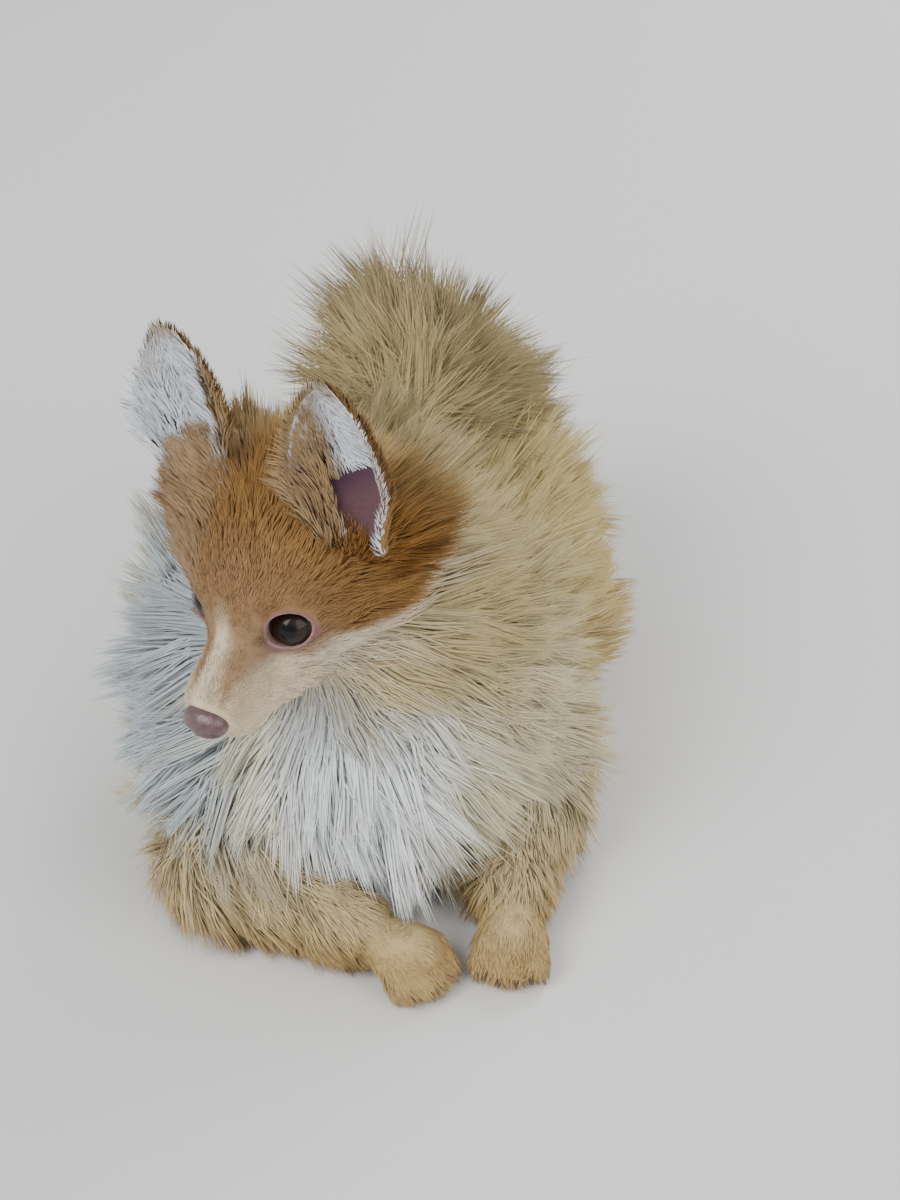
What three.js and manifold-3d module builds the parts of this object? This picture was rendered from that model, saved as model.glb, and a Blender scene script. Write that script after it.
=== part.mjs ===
// A life-size Pomeranian puppy lying on its belly, in millimetres, +Z up.
// The trunk lies along Y and faces -Y, with the puppy's left side at +X.
// The origin is on the floor, under the middle of the belly's flat.
import * as THREE from "three";
import { mergeVertices } from "three/addons/utils/BufferGeometryUtils.js";
import Module from "manifold-3d";

const wasm = await Module();
wasm.setup();

// Driving sizes of the puppy under its coat
const TRUNK_LENGTH = 178; // breast bone to rump
const CHEST_WIDTH = 88;
const CHEST_DEPTH = 88;
const SKULL_WIDTH = 58;
const EYE_RADIUS = 8.2;
const EAR_LENGTH = 46; // root in the skull to tip
const MUZZLE_LENGTH = 34; // stop to nose pad
const PAW_WIDTH = 26;
const GAP = 0.35; // clearance between neighbouring parts

// Depth of the coat on each region, skin to hair tips
const RUFF_DEPTH = 44;
const BACK_DEPTH = 34;
const TAIL_DEPTH = 46;
const BREECH_DEPTH = 22;
const LEG_DEPTH = 6;
const CROWN_DEPTH = 7;
const FACE_DEPTH = 1.2;
const CORE_SHARE = 0.42; // share of the coat's depth that the solid core fills

const v = (x, y, z) => new THREE.Vector3(x, y, z);
const clamp = THREE.MathUtils.clamp;
const lerp = THREE.MathUtils.lerp;
const smooth = THREE.MathUtils.smoothstep;
const degrees = THREE.MathUtils.degToRad;

// Distance fields of the flesh: each is a function of a point
function ellipsoid(centre, radii) {
  return (p) => {
    const q = p.clone().sub(centre);
    const near = q.clone().divide(radii).length();
    const slope = q.clone().divide(radii).divide(radii).length();
    return slope < 1e-9 ? -Math.min(radii.x, radii.y, radii.z) : (near * (near - 1)) / slope;
  };
}

function taper(start, end, startRadius, endRadius) {
  const axis = end.clone().sub(start);
  return (p) => {
    const t = clamp(p.clone().sub(start).dot(axis) / axis.lengthSq(), 0, 1);
    const onAxis = start.clone().addScaledVector(axis, t);
    return p.distanceTo(onAxis) - lerp(startRadius, endRadius, t);
  };
}

function blend(softness, ...fields) {
  return (p) =>
    fields.map((field) => field(p)).reduce((a, b) => {
      const h = Math.max(softness - Math.abs(a - b), 0) / softness;
      return Math.min(a, b) - (h * h * softness) / 4;
    });
}

const grown = (field, amount) => (p) => field(p) - (typeof amount === "function" ? amount(p) : amount);

function slopeOf(field, p) {
  const step = 0.5;
  const difference = (axis) => field(p.clone().addScaledVector(axis, step)) - field(p.clone().addScaledVector(axis, -step));
  return v(difference(v(1, 0, 0)), difference(v(0, 1, 0)), difference(v(0, 0, 1))).normalize();
}

// The distance from a point inside a field to its surface, along a direction
function reach(field, from, direction, furthest = 220) {
  let inside = 0;
  let outside = furthest;
  for (let t = 2; t <= furthest; t += 2) {
    if (field(from.clone().addScaledVector(direction, t)) > 0) {
      outside = t;
      break;
    }
    inside = t;
  }
  for (let i = 0; i < 14; i++) {
    const middle = (inside + outside) / 2;
    if (field(from.clone().addScaledVector(direction, middle)) > 0) outside = middle;
    else inside = middle;
  }
  return (inside + outside) / 2;
}

// Closed meshes and solids
function toSolid(geometry) {
  const bare = new THREE.BufferGeometry().setAttribute("position", geometry.getAttribute("position").clone());
  if (geometry.index) bare.setIndex(geometry.index);
  const merged = mergeVertices(bare, 1e-3);
  const made = new wasm.Manifold(
    new wasm.Mesh({
      numProp: 3,
      vertProperties: merged.attributes.position.array,
      triVerts: new Uint32Array(merged.index.array),
    }),
  );
  return made;
}

function toGeometry(solid) {
  const mesh = solid.getMesh();
  const positions = new Float32Array(mesh.numVert * 3);
  for (let i = 0; i < mesh.numVert; i++) {
    positions.set(mesh.vertProperties.subarray(i * mesh.numProp, i * mesh.numProp + 3), i * 3);
  }
  const geometry = new THREE.BufferGeometry();
  geometry.setAttribute("position", new THREE.BufferAttribute(positions, 3));
  geometry.setIndex(new THREE.BufferAttribute(mesh.triVerts, 1));
  geometry.computeVertexNormals();
  return geometry;
}

const placed = (solid, matrix) => solid.transform(matrix.elements);
const join = (solids) => wasm.Manifold.union(solids);
const largest = (solid) =>
  solid.decompose().reduce((best, piece) => (piece.volume() > best.volume() ? piece : best));

// Rings of points, one pole at each end, closed into one surface
function skinOf(rings, firstPole, lastPole) {
  const sides = rings[0].length;
  const points = [firstPole, ...rings.flat(), lastPole];
  const index = [];
  const at = (ring, side) => 1 + ring * sides + (side % sides);
  for (let side = 0; side < sides; side++) {
    index.push(0, at(0, side + 1), at(0, side));
    for (let ring = 0; ring + 1 < rings.length; ring++) {
      index.push(at(ring, side), at(ring, side + 1), at(ring + 1, side + 1));
      index.push(at(ring, side), at(ring + 1, side + 1), at(ring + 1, side));
    }
    index.push(points.length - 1, at(rings.length - 1, side), at(rings.length - 1, side + 1));
  }
  const geometry = new THREE.BufferGeometry().setFromPoints(points);
  geometry.setIndex(index);
  const solid = toSolid(geometry);
  if (solid.volume() > 0) return solid;
  for (let i = 0; i < index.length; i += 3) [index[i + 1], index[i + 2]] = [index[i + 2], index[i + 1]];
  geometry.setIndex(index);
  return toSolid(geometry);
}

// The skin of a field, found by rays from a spine: rings along it and a round cap at each end
function shellAround(spine, field, { rings, caps = 3, sides }) {
  const tangentAt = (t) => spine.getTangentAt(clamp(t, 0, 1));
  const side = v(0, 0, 1).cross(tangentAt(0)).normalize();
  if (side.lengthSq() < 0.5) side.set(1, 0, 0);
  const rays = [];
  for (let i = 1; i <= caps; i++) rays.push([0, (i / (caps + 1)) * 90 - 90]);
  for (let i = 0; i <= rings; i++) rays.push([i / rings, 0]);
  for (let i = 1; i <= caps; i++) rays.push([1, (i / (caps + 1)) * 90]);
  const made = rays.map(([t, lean]) => {
    const from = spine.getPointAt(t);
    const along = tangentAt(t);
    const across = side.clone().addScaledVector(along, -side.dot(along)).normalize();
    const up = along.clone().cross(across);
    return Array.from({ length: sides }, (_, j) => {
      const angle = (j / sides) * 2 * Math.PI;
      const ray = across.clone().multiplyScalar(Math.cos(angle)).addScaledVector(up, Math.sin(angle));
      ray.multiplyScalar(Math.cos(degrees(lean))).addScaledVector(along, Math.sin(degrees(lean)));
      return from.clone().addScaledVector(ray, reach(field, from, ray));
    });
  });
  const pole = (t, sign) => {
    const from = spine.getPointAt(t);
    const ray = tangentAt(t).multiplyScalar(sign);
    return from.clone().addScaledVector(ray, reach(field, from, ray));
  };
  return skinOf(made, pole(0, -1), pole(1, 1));
}

const spineOf = (...points) => (points.length === 2 ? new THREE.LineCurve3(...points) : new THREE.CatmullRomCurve3(points));

// A seeded draw, so that the locks vary and the model is the same each time
let seed = 20240;
function draw() {
  seed = (seed * 1664525 + 1013904223) % 4294967296;
  return seed / 4294967296;
}
const vary = (share) => 1 + (draw() * 2 - 1) * share;

// One lock of hair: flat with a low ridge, tapered and bent along its lie, its root sunk in the core
const LOCK_STATIONS = [0, 0.36, 0.74];
const LOCK_WIDTHS = [0.85, 1, 0.7];
const LOCK_FLOOR = 2.2; // lowest centre line of a lock over the floor
const LOCK_CLEARANCE = 1.8; // a lock's flanks bend, so its cutter is wider than the gap alone
function lock({ root, out, lie, length, width, thick, lift, droop, sink }, gap = 0) {
  const grow = gap * LOCK_CLEARANCE;
  const point = root.clone().addScaledVector(out, -sink);
  const heading = out.clone().multiplyScalar(lift).add(lie).normalize();
  const sections = [];
  let last = 0;
  const stations = [...LOCK_STATIONS, 1];
  stations.forEach((station, i) => {
    const step = (station - last) * (length + sink + grow);
    last = station;
    if (i > 0) {
      heading.addScaledVector(lie, 0.35).addScaledVector(v(0, 0, -1), droop * station).normalize();
      point.addScaledVector(heading, step);
      if (point.z < LOCK_FLOOR) point.z = LOCK_FLOOR;
    }
    sections.push([point.clone(), heading.clone()]);
  });
  const tip = sections.pop()[0];
  const rings = sections.map(([centre, along], i) => {
    const across = along.clone().cross(out).normalize();
    const face = across.clone().cross(along).normalize();
    const halfWidth = (width / 2) * LOCK_WIDTHS[i] + grow;
    const ridge = thick * 0.7 * LOCK_WIDTHS[i] + grow;
    const edge = -thick * 0.3 * LOCK_WIDTHS[i] - grow;
    return [
      centre.clone().addScaledVector(across, halfWidth + grow).addScaledVector(face, edge),
      centre.clone().addScaledVector(face, ridge + grow),
      centre.clone().addScaledVector(across, -halfWidth - grow).addScaledVector(face, edge),
    ];
  });
  const floorOfRoot = sections[0][0].clone();
  return skinOf(rings, floorOfRoot, tip);
}

// The head's own frame: its centre is in the skull, it faces -Y, and its left is +X
const headGroup = new THREE.Group();
headGroup.position.set(-33, -77, 144);
headGroup.rotation.set(degrees(21.5), degrees(-5.6), degrees(-18), "ZXY");
headGroup.updateMatrix();
const headMatrix = headGroup.matrix;
const headInverse = headMatrix.clone().invert();
const inHead = (x, y, z) => v(x, y, z).applyMatrix4(headMatrix);

// Flesh of the trunk and the neck
const TRUNK_HALF = CHEST_WIDTH / 2;
const chest = ellipsoid(v(0, -30, CHEST_DEPTH * 0.54), v(TRUNK_HALF, TRUNK_LENGTH * 0.29, CHEST_DEPTH * 0.51));
const loin = ellipsoid(v(0, 26, CHEST_DEPTH * 0.47), v(TRUNK_HALF * 0.86, TRUNK_LENGTH * 0.28, CHEST_DEPTH * 0.44));
const rump = ellipsoid(v(0, 58, CHEST_DEPTH * 0.48), v(TRUNK_HALF * 0.92, TRUNK_LENGTH * 0.2, CHEST_DEPTH * 0.45));
const trunk = blend(16, chest, loin, rump);
const NECK_BASE = v(-4, -44, 74);
const NECK_TOP = inHead(0, 12, -8);
const neckFlesh = blend(18, taper(NECK_BASE, NECK_TOP, 34, 26), ellipsoid(v(-2, -58, 50), v(32, 26, 38)));

// Flesh of the head, in its own frame
const skull = ellipsoid(v(0, 4, 4), v(SKULL_WIDTH / 2, 31, 26));
const forehead = ellipsoid(v(0, -11, 6), v(SKULL_WIDTH * 0.4, 19, 18.5));
const cheek = (sign) => ellipsoid(v(sign * SKULL_WIDTH * 0.3, -3, -11), v(14, 20, 14));
const bridge = taper(v(0, -18, -6), v(0, -20 - MUZZLE_LENGTH * 0.94, -11), 14, 8);
const jaw = taper(v(0, -8, -19), v(0, -18 - MUZZLE_LENGTH * 0.78, -19.5), 11, 5.5);
const headFlesh = blend(9, skull, forehead, cheek(1), cheek(-1), bridge, jaw);
const SIDE_DEPTH = 13; // extra coat on the temples and cheeks
const coatOnHead = (p) =>
  lerp(FACE_DEPTH, CROWN_DEPTH, smooth(p.y, -30, -6)) +
  SIDE_DEPTH * smooth(Math.abs(p.x), 10, 32) * smooth(p.y, -20, 2) * lerp(1, 0.5, smooth(p.z, 8, 26));
const headField = grown(headFlesh, coatOnHead);

// Flesh of the legs: elbow, wrist and toes of each foreleg, stifle, hock and toes of each hind leg
const WRIST_RADIUS = PAW_WIDTH * 0.4;
const TOE_RADIUS = PAW_WIDTH * 0.2;
const forelegs = {
  right: { elbow: v(-56, -104, 22), wrist: v(-6, -119, 14), paw: v(18, -126, 11) },
  left: { elbow: v(50, -46, 24), wrist: v(53, -90, 15), paw: v(57, -112, 11) },
};
const hindlegs = {
  right: { stifle: v(-42, 22, 34), hock: v(-47, 74, 14), paw: v(-54, 16, 10) },
  left: { stifle: v(42, 22, 34), hock: v(47, 74, 14), paw: v(54, 16, 10) },
};

function pawField(wrist, paw) {
  const forward = paw.clone().sub(wrist).setZ(0).normalize();
  const across = v(0, 0, 1).cross(forward);
  const palm = ellipsoid(paw.clone(), v(PAW_WIDTH * 0.42, PAW_WIDTH * 0.42, 9));
  const toes = [-1.5, -0.5, 0.5, 1.5].map((place) => {
    const spread = PAW_WIDTH * 0.27 * place;
    const ahead = PAW_WIDTH * (Math.abs(place) > 1 ? 0.3 : 0.44);
    const start = paw.clone().addScaledVector(across, spread * 0.8).setZ(11);
    const end = paw.clone().addScaledVector(across, spread * 1.1).addScaledVector(forward, ahead).setZ(TOE_RADIUS + 1);
    return taper(start, end, TOE_RADIUS * 0.9, TOE_RADIUS);
  });
  const toeBlend = 1.6;
  return blend(toeBlend, palm, ...toes);
}

const forelegFlesh = ({ elbow, wrist, paw }) =>
  blend(8, taper(elbow, wrist, 15, WRIST_RADIUS), taper(wrist, paw, WRIST_RADIUS, 8), pawField(wrist, paw));
const hindlegFlesh = ({ stifle, hock, paw }) =>
  blend(
    8,
    ellipsoid(stifle.clone().lerp(hock, 0.4).setZ(34), v(17, 34, 27)),
    taper(hock, paw, 9, 9),
    pawField(hock, paw),
  );

// Flesh of the tail: it rises from the rump and curls forward over the back
const tailSpine = spineOf(v(-2, 84, 74), v(-6, 94, 100), v(-9, 88, 122), v(-9, 68, 134), v(-8, 46, 134));
const TAIL_ROOT_RADIUS = 9;
const TAIL_TIP_RADIUS = 4;
const TAIL_PIECES = 10;
const tailFlesh = blend(
  6,
  ...Array.from({ length: TAIL_PIECES }, (_, i) => {
    const [start, end] = [i / TAIL_PIECES, (i + 1) / TAIL_PIECES];
    return taper(
      tailSpine.getPoint(start),
      tailSpine.getPoint(end),
      lerp(TAIL_ROOT_RADIUS, TAIL_TIP_RADIUS, start),
      lerp(TAIL_ROOT_RADIUS, TAIL_TIP_RADIUS, end),
    );
  }),
);

// Cores: the flesh with the inner share of its coat
const maneCore = blend(16, ellipsoid(v(-27, -40, 72), v(70, 44, 52)), ellipsoid(v(-44, -70, 42), v(48, 34, 38)));
const trunkCore = blend(18, grown(trunk, BACK_DEPTH * CORE_SHARE), maneCore);
// The ruff's core thins out under the face, and is whole below the jaw
const ruffCoreDepth = (p) => {
  const h = p.clone().applyMatrix4(headInverse);
  return RUFF_DEPTH * CORE_SHARE * Math.max(smooth(h.y, -22, 12), smooth(-h.z, 26, 46));
};
const neckCore = blend(20, grown(neckFlesh, ruffCoreDepth), maneCore);
const tailCore = grown(tailFlesh, TAIL_DEPTH * 0.16);
const breechCore = (leg) => grown(hindlegFlesh(leg), (p) => lerp(4, BREECH_DEPTH * 0.45, smooth(p.z, 10, 34)));

// The room over the floor, and a half space of it in front of the neck's joint with the trunk
const ROOM = 900;
function block(width, depth, height, centre, turn = 0) {
  const geometry = new THREE.BoxGeometry(width, depth, height);
  const matrix = new THREE.Matrix4().makeRotationX(turn);
  matrix.setPosition(centre);
  return placed(toSolid(geometry), matrix);
}
const floorBlock = block(ROOM, ROOM, ROOM, v(0, 0, -ROOM / 2));
const NECK_JOINT_Y = -34;
const NECK_JOINT_TURN = degrees(-24);
const behindNeck = (offset) =>
  block(ROOM, ROOM, ROOM, v(0, NECK_JOINT_Y + offset + (ROOM / 2) * Math.cos(NECK_JOINT_TURN),
    70 + (ROOM / 2) * Math.sin(NECK_JOINT_TURN)), NECK_JOINT_TURN);
const overFloor = (solid) => solid.subtract(floorBlock);
// How far a point lies behind the neck's joint with the trunk
const jointSide = (p) =>
  (p.y - NECK_JOINT_Y) * Math.cos(NECK_JOINT_TURN) + (p.z - 70) * Math.sin(NECK_JOINT_TURN);

// Locks rooted on a core, in rings round a spine: each ring has a place along it and a lean towards its end
function coatRound({ spine, field, rings, count, lieAt, shape, accept }) {
  const locks = [];
  rings.forEach(([place, lean], row) => {
    const origin = spine.getPointAt(place);
    const along = spine.getTangentAt(place);
    const across = v(1, 0, 0).addScaledVector(along, -along.x).normalize();
    const up = across.clone().cross(along);
    const around = Math.max(3, Math.round(count * Math.cos(degrees(lean))));
    for (let i = 0; i < around; i++) {
      const angle = ((i + (row % 2) / 2 + (draw() - 0.5) * 0.2) / around) * 2 * Math.PI;
      const ray = across.clone().multiplyScalar(Math.cos(angle)).addScaledVector(up, Math.sin(angle));
      ray.multiplyScalar(Math.cos(degrees(lean))).addScaledVector(along, Math.sin(degrees(lean)));
      const root = origin.clone().addScaledVector(ray, reach(field, origin, ray));
      if (!accept(root)) continue;
      const out = slopeOf(field, root);
      const drift = v(draw() - 0.5, draw() - 0.5, draw() - 0.5).multiplyScalar(0.2);
      locks.push({ root, out, lie: lieAt(root, ray, along).normalize().add(drift).normalize(), ...shape(root, ray) });
    }
  });
  return locks;
}
const coatSolid = (core, locks, grow) => join([core, ...locks.map((one) => lock(one, grow))]);

// Ruff: locks that radiate from the face, over the nape, the sides of the neck and the breast
const FACE_CENTRE = inHead(0, -34, -8);
const outOfHead = (root) => headField(root.clone().applyMatrix4(headInverse));
const ruffSpine = spineOf(inHead(0, 14, -8), v(-18, -46, 84), v(-12, -52, 40));
const ruffLocks = coatRound({
  spine: ruffSpine, field: neckCore, count: 13,
  rings: [[0.08, 0], [0.25, 0], [0.42, 0], [0.58, 0], [0.75, 0], [0.93, 0], [1, 28]],
  lieAt: (root) => root.clone().sub(FACE_CENTRE).normalize().add(v(0, 0.12, -0.25 * smooth(-root.y, 30, 90))),
  accept: (root) => root.z > 12 && outOfHead(root) > 1 && jointSide(root) < -2,
  shape: (root) => ({
    length: RUFF_DEPTH * vary(0.14) * lerp(0.8, 1, smooth(outOfHead(root), 4, 30)), width: 27 * vary(0.12), thick: 6,
    lift: lerp(0.4, 1.3, smooth(-root.y, 50, 90)), droop: 0.12, sink: 6,
  }),
});

// Back, flanks and rump: locks that stand out and lie back
const backSpine = spineOf(v(0, -24, 48), v(0, 72, 44));
const backLocks = coatRound({
  spine: backSpine, field: trunkCore, count: 12, rings: [[0.12, 0], [0.4, 0], [0.68, 0], [0.96, 0], [1, 34], [1, 64]],
  lieAt: (root) => v(root.x * 0.008, 0.8, -0.1 - 0.3 * smooth(Math.abs(root.x), 10, 50)),
  accept: (root) => root.z > 16 && jointSide(root) > 7 && !(Math.abs(root.x) < 17 && root.y > 70 && root.z > 52)
    && !(Math.abs(root.x) > 34 && root.z < 58 && root.y > 10),
  shape: () => ({
    length: BACK_DEPTH * vary(0.14), width: 28 * vary(0.12), thick: 5.5, lift: 0.8, droop: 0.05, sink: 6,
  }),
});

// Tail plume: rings of locks round the tail that spray outwards and towards its tip
const plumeLocks = coatRound({
  spine: tailSpine, field: tailCore, count: 8,
  rings: [[0.24, 0], [0.45, 0], [0.66, 0], [0.86, 0], [1, 45]],
  lieAt: (root, ray, along) => ray.clone().multiplyScalar(0.9).addScaledVector(along, 0.35).add(v(0, 0, 0.4)),
  accept: (root) => root.z > 88,
  shape: (root, ray) => ({
    length: TAIL_DEPTH * vary(0.14) * lerp(0.8, 1, smooth(root.z, 100, 130)) * (1 + 0.45 * Math.abs(ray.x)),
    width: 25 * vary(0.12), thick: 5, lift: 0.3, droop: 0.06, sink: 5,
  }),
});

// Breeches: locks over each thigh that lie back and down
const thighSpine = (leg) => {
  const middle = leg.stifle.clone().lerp(leg.hock, 0.4).setZ(30);
  return spineOf(middle.clone().add(v(0, -12, 0)), middle.clone().add(v(0, 12, 0)));
};
const breechLocks = (leg) => coatRound({
  spine: thighSpine(leg), field: breechCore(leg), count: 9, rings: [[0, 0], [1, 0], [1, 40]],
  lieAt: () => v(0, 0.8, -0.4),
  accept: (root) => Math.abs(root.x) > 50 && root.z > 14,
  shape: () => ({
    length: BREECH_DEPTH * 1.2 * vary(0.14), width: 22 * vary(0.12), thick: 5, lift: 0.6, droop: 0.1, sink: 5,
  }),
});

// Feathering: a fringe down the back of each forearm
const featherLocks = ({ elbow, wrist, paw }) => {
  const field = grown(forelegFlesh({ elbow, wrist, paw }), LEG_DEPTH);
  const along = wrist.clone().sub(elbow).normalize();
  return [0.05, 0.25, 0.45, 0.65].flatMap((place) =>
    [-1, 1].map((sign) => {
      const from = elbow.clone().lerp(wrist, place);
      const across = v(0, 0, 1).cross(along).multiplyScalar(sign);
      const ray = across.clone().addScaledVector(v(0, 0, 1), 0.15).normalize();
      const root = from.clone().addScaledVector(ray, reach(field, from, ray));
      const out = slopeOf(field, root);
      return {
        root, out, lie: along.clone().multiplyScalar(-0.5).addScaledVector(across, 0.4).add(v(0, 0, -0.45)).normalize(),
        length: lerp(20, 12, place) * vary(0.12), width: 13, thick: 4.5, lift: 0.35, droop: 0.1, sink: 4,
      };
    }),
  );
};

// Eye: a ball that sits in its socket under the lids
const eyeAt = (sign) => v(sign * 15.2, -18.6, -0.4);
const gaze = (sign) => v(sign * 0.52, -0.84, 0.14).normalize();
const ball = (centre, radius, across = 14, down = 10) => {
  const geometry = new THREE.SphereGeometry(radius, across, down);
  geometry.translate(centre.x, centre.y, centre.z);
  return toSolid(geometry);
};
const LID_THICKNESS = 1.5;
const LID_WIDTH = 14.6;
const LID_HEIGHT = 11.6;
function lidOpening(sign) {
  const almond = new THREE.Shape();
  almond.moveTo(-LID_WIDTH / 2, -0.6);
  almond.quadraticCurveTo(-LID_WIDTH * 0.3, LID_HEIGHT * 0.62, 0.5, LID_HEIGHT * 0.52);
  almond.quadraticCurveTo(LID_WIDTH * 0.42, LID_HEIGHT * 0.4, LID_WIDTH / 2, -0.4);
  almond.quadraticCurveTo(LID_WIDTH * 0.3, -LID_HEIGHT * 0.52, 0, -LID_HEIGHT * 0.5);
  almond.quadraticCurveTo(-LID_WIDTH * 0.34, -LID_HEIGHT * 0.46, -LID_WIDTH / 2, -0.6);
  const geometry = new THREE.ExtrudeGeometry(almond, { depth: 20, bevelEnabled: false, curveSegments: 4 });
  const facing = new THREE.Matrix4().lookAt(gaze(sign), v(0, 0, 0), v(0, 0, 1));
  facing.setPosition(eyeAt(sign));
  return placed(toSolid(geometry), facing);
}

// Mouth: a thin groove that runs back from under the nose on both sides of the muzzle
const MOUTH_LEVEL = -17;
const MOUTH_GROOVE = 0.9;
function mouthGroove() {
  const halfAt = (forward) => lerp(15, 6.5, smooth(forward, 18, 52));
  const outer = 6;
  const depth = 2.4;
  const steps = 6;
  const sidePoints = (offset, sign) =>
    Array.from({ length: steps + 1 }, (_, i) => {
      const forward = lerp(24, 53, i / steps);
      return new THREE.Vector2(sign * (halfAt(forward) + offset), -forward);
    });
  const outline = [...sidePoints(outer, 1), new THREE.Vector2(0, -66), ...sidePoints(outer, -1).reverse()];
  const inner = [...sidePoints(-depth, -1), new THREE.Vector2(0, -53), ...sidePoints(-depth, 1).reverse()];
  const geometry = new THREE.ExtrudeGeometry(new THREE.Shape([...outline, ...inner]), {
    depth: MOUTH_GROOVE, bevelEnabled: false,
  });
  geometry.rotateX(degrees(-6));
  geometry.translate(0, 0, MOUTH_LEVEL - 3);
  return toSolid(geometry);
}

// Nose pad with two nostrils, set on the end of the muzzle
const NOSE = v(0, -22 - MUZZLE_LENGTH, -10);
const nosePadField = blend(2.5, ellipsoid(NOSE, v(8, 5.4, 5.6)), ellipsoid(NOSE.clone().add(v(0, 1, -4)), v(4, 4, 4)));
const noseSpine = spineOf(NOSE.clone().add(v(0, 1.5, 0)), NOSE.clone().add(v(0, -1.5, 0)));
function nosePad(grow = 0) {
  const pad = shellAround(noseSpine, grown(nosePadField, grow), { rings: 2, caps: 3, sides: 14 });
  if (grow) return pad;
  const nostrils = [-1, 1].map((sign) => ball(NOSE.clone().add(v(sign * 4.3, -5, -0.4)), 2.1, 6, 5));
  return largest(pad.subtract(join(nostrils)));
}

// Ear: a thin curved cup, open to the front, that narrows to its tip
const EAR_ROOT = (sign) => v(sign * 28 - 1, 8, 24);
const EAR_TIP = (sign) => v(sign * 33 - 6, 28, 27 + EAR_LENGTH - sign * 3);
const EAR_WIDTH = 34;
const EAR_OPENS = { "-1": v(0.05, -0.95, 0.3), 1: v(-0.2, -0.9, 0.3) };
function ear(sign, grow = 0) {
  const root = EAR_ROOT(sign);
  const axis = EAR_TIP(sign).sub(root);
  const up = axis.clone().normalize();
  const open = EAR_OPENS[sign].clone();
  open.addScaledVector(up, -open.dot(up)).normalize();
  const across = up.clone().cross(open);
  const steps = 7;
  const arc = 7;
  const sections = [];
  for (let i = 0; i <= steps; i++) {
    const t = lerp(-0.22, 0.985, i / steps);
    const round = Math.max(1 - Math.max(t, 0) ** 1.7, 0.05) ** 0.8;
    const half = (EAR_WIDTH / 2) * round * lerp(1, 0.8, smooth(-t, 0, 0.22)) + grow;
    const cup = half * lerp(0.95, 0.5, clamp(t, 0, 1));
    const wall = lerp(3.4, 1.5, clamp(t, 0, 1)) + grow * 2;
    const centre = root.clone().addScaledVector(axis, t + (i === steps ? grow / EAR_LENGTH : 0));
    const rim = (angle, shrink) =>
      centre.clone()
        .addScaledVector(across, Math.cos(angle) * (half - shrink * 0.75))
        .addScaledVector(open, -Math.sin(angle) * (cup - shrink) + cup * 0.35);
    const back = Array.from({ length: arc + 1 }, (_, j) => rim((j / arc) * Math.PI, 0));
    const front = Array.from({ length: arc + 1 }, (_, j) => rim(Math.PI * (1 - j / arc), Math.min(wall, half * 0.7)));
    front[0].addScaledVector(open, wall * 0.3);
    front[arc].addScaledVector(open, wall * 0.3);
    sections.push([...back, ...front]);
  }
  const middleOf = (ring) => ring.reduce((sum, p) => sum.add(p), v(0, 0, 0)).divideScalar(ring.length);
  const floorOfRing = middleOf([sections[0][3], sections[0][4], sections[0][11], sections[0][12]]);
  const topOfRing = middleOf([sections[steps][3], sections[steps][4], sections[steps][11], sections[steps][12]]);
  return skinOf(sections, floorOfRing, topOfRing);
}

// Head: skull, cheeks, lids and lips, cut for the eyes, the mouth, the nose and the ears
const headSpine = spineOf(v(0, 14, 0), v(0, -6, -3), v(0, -24, -9), v(0, -46, -13));
const eyes = [-1, 1].map((sign) => ball(eyeAt(sign), EYE_RADIUS));
const ears = [-1, 1].map((sign) => ear(sign));
const nose = nosePad();
function headSolid(grow = 0) {
  const shell = shellAround(headSpine, grown(headField, grow), { rings: 13, caps: 3, sides: 22 });
  if (grow) return shell;
  const lids = [-1, 1].map((sign) => ball(eyeAt(sign), EYE_RADIUS + LID_THICKNESS, 16, 10));
  const sockets = [-1, 1].map((sign) => ball(eyeAt(sign), EYE_RADIUS + GAP));
  const cuts = [...sockets, ...[-1, 1].map(lidOpening), mouthGroove(), nosePad(GAP), ear(-1, GAP), ear(1, GAP)];
  return largest(join([shell, ...lids]).subtract(join(cuts)));
}

// Claws: one at the end of each toe
function clawsOf(wrist, paw, grow) {
  const forward = paw.clone().sub(wrist).setZ(0).normalize();
  const across = v(0, 0, 1).cross(forward);
  return [-1.5, -0.5, 0.5, 1.5].map((place) => {
    const ahead = PAW_WIDTH * (Math.abs(place) > 1 ? 0.3 : 0.44) + TOE_RADIUS + LEG_DEPTH * 0.5;
    const geometry = new THREE.ConeGeometry(1.5 + grow, 8 + grow * 2, 6);
    geometry.rotateX(Math.PI / 2);
    const at = paw.clone().addScaledVector(across, PAW_WIDTH * 0.23 * place).addScaledVector(forward, ahead).setZ(3.6);
    const facing = new THREE.Matrix4().lookAt(v(0, 0, 0), forward.clone().setZ(-0.25).negate(), v(0, 0, 1));
    facing.setPosition(at);
    return placed(toSolid(geometry), facing);
  });
}

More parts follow.
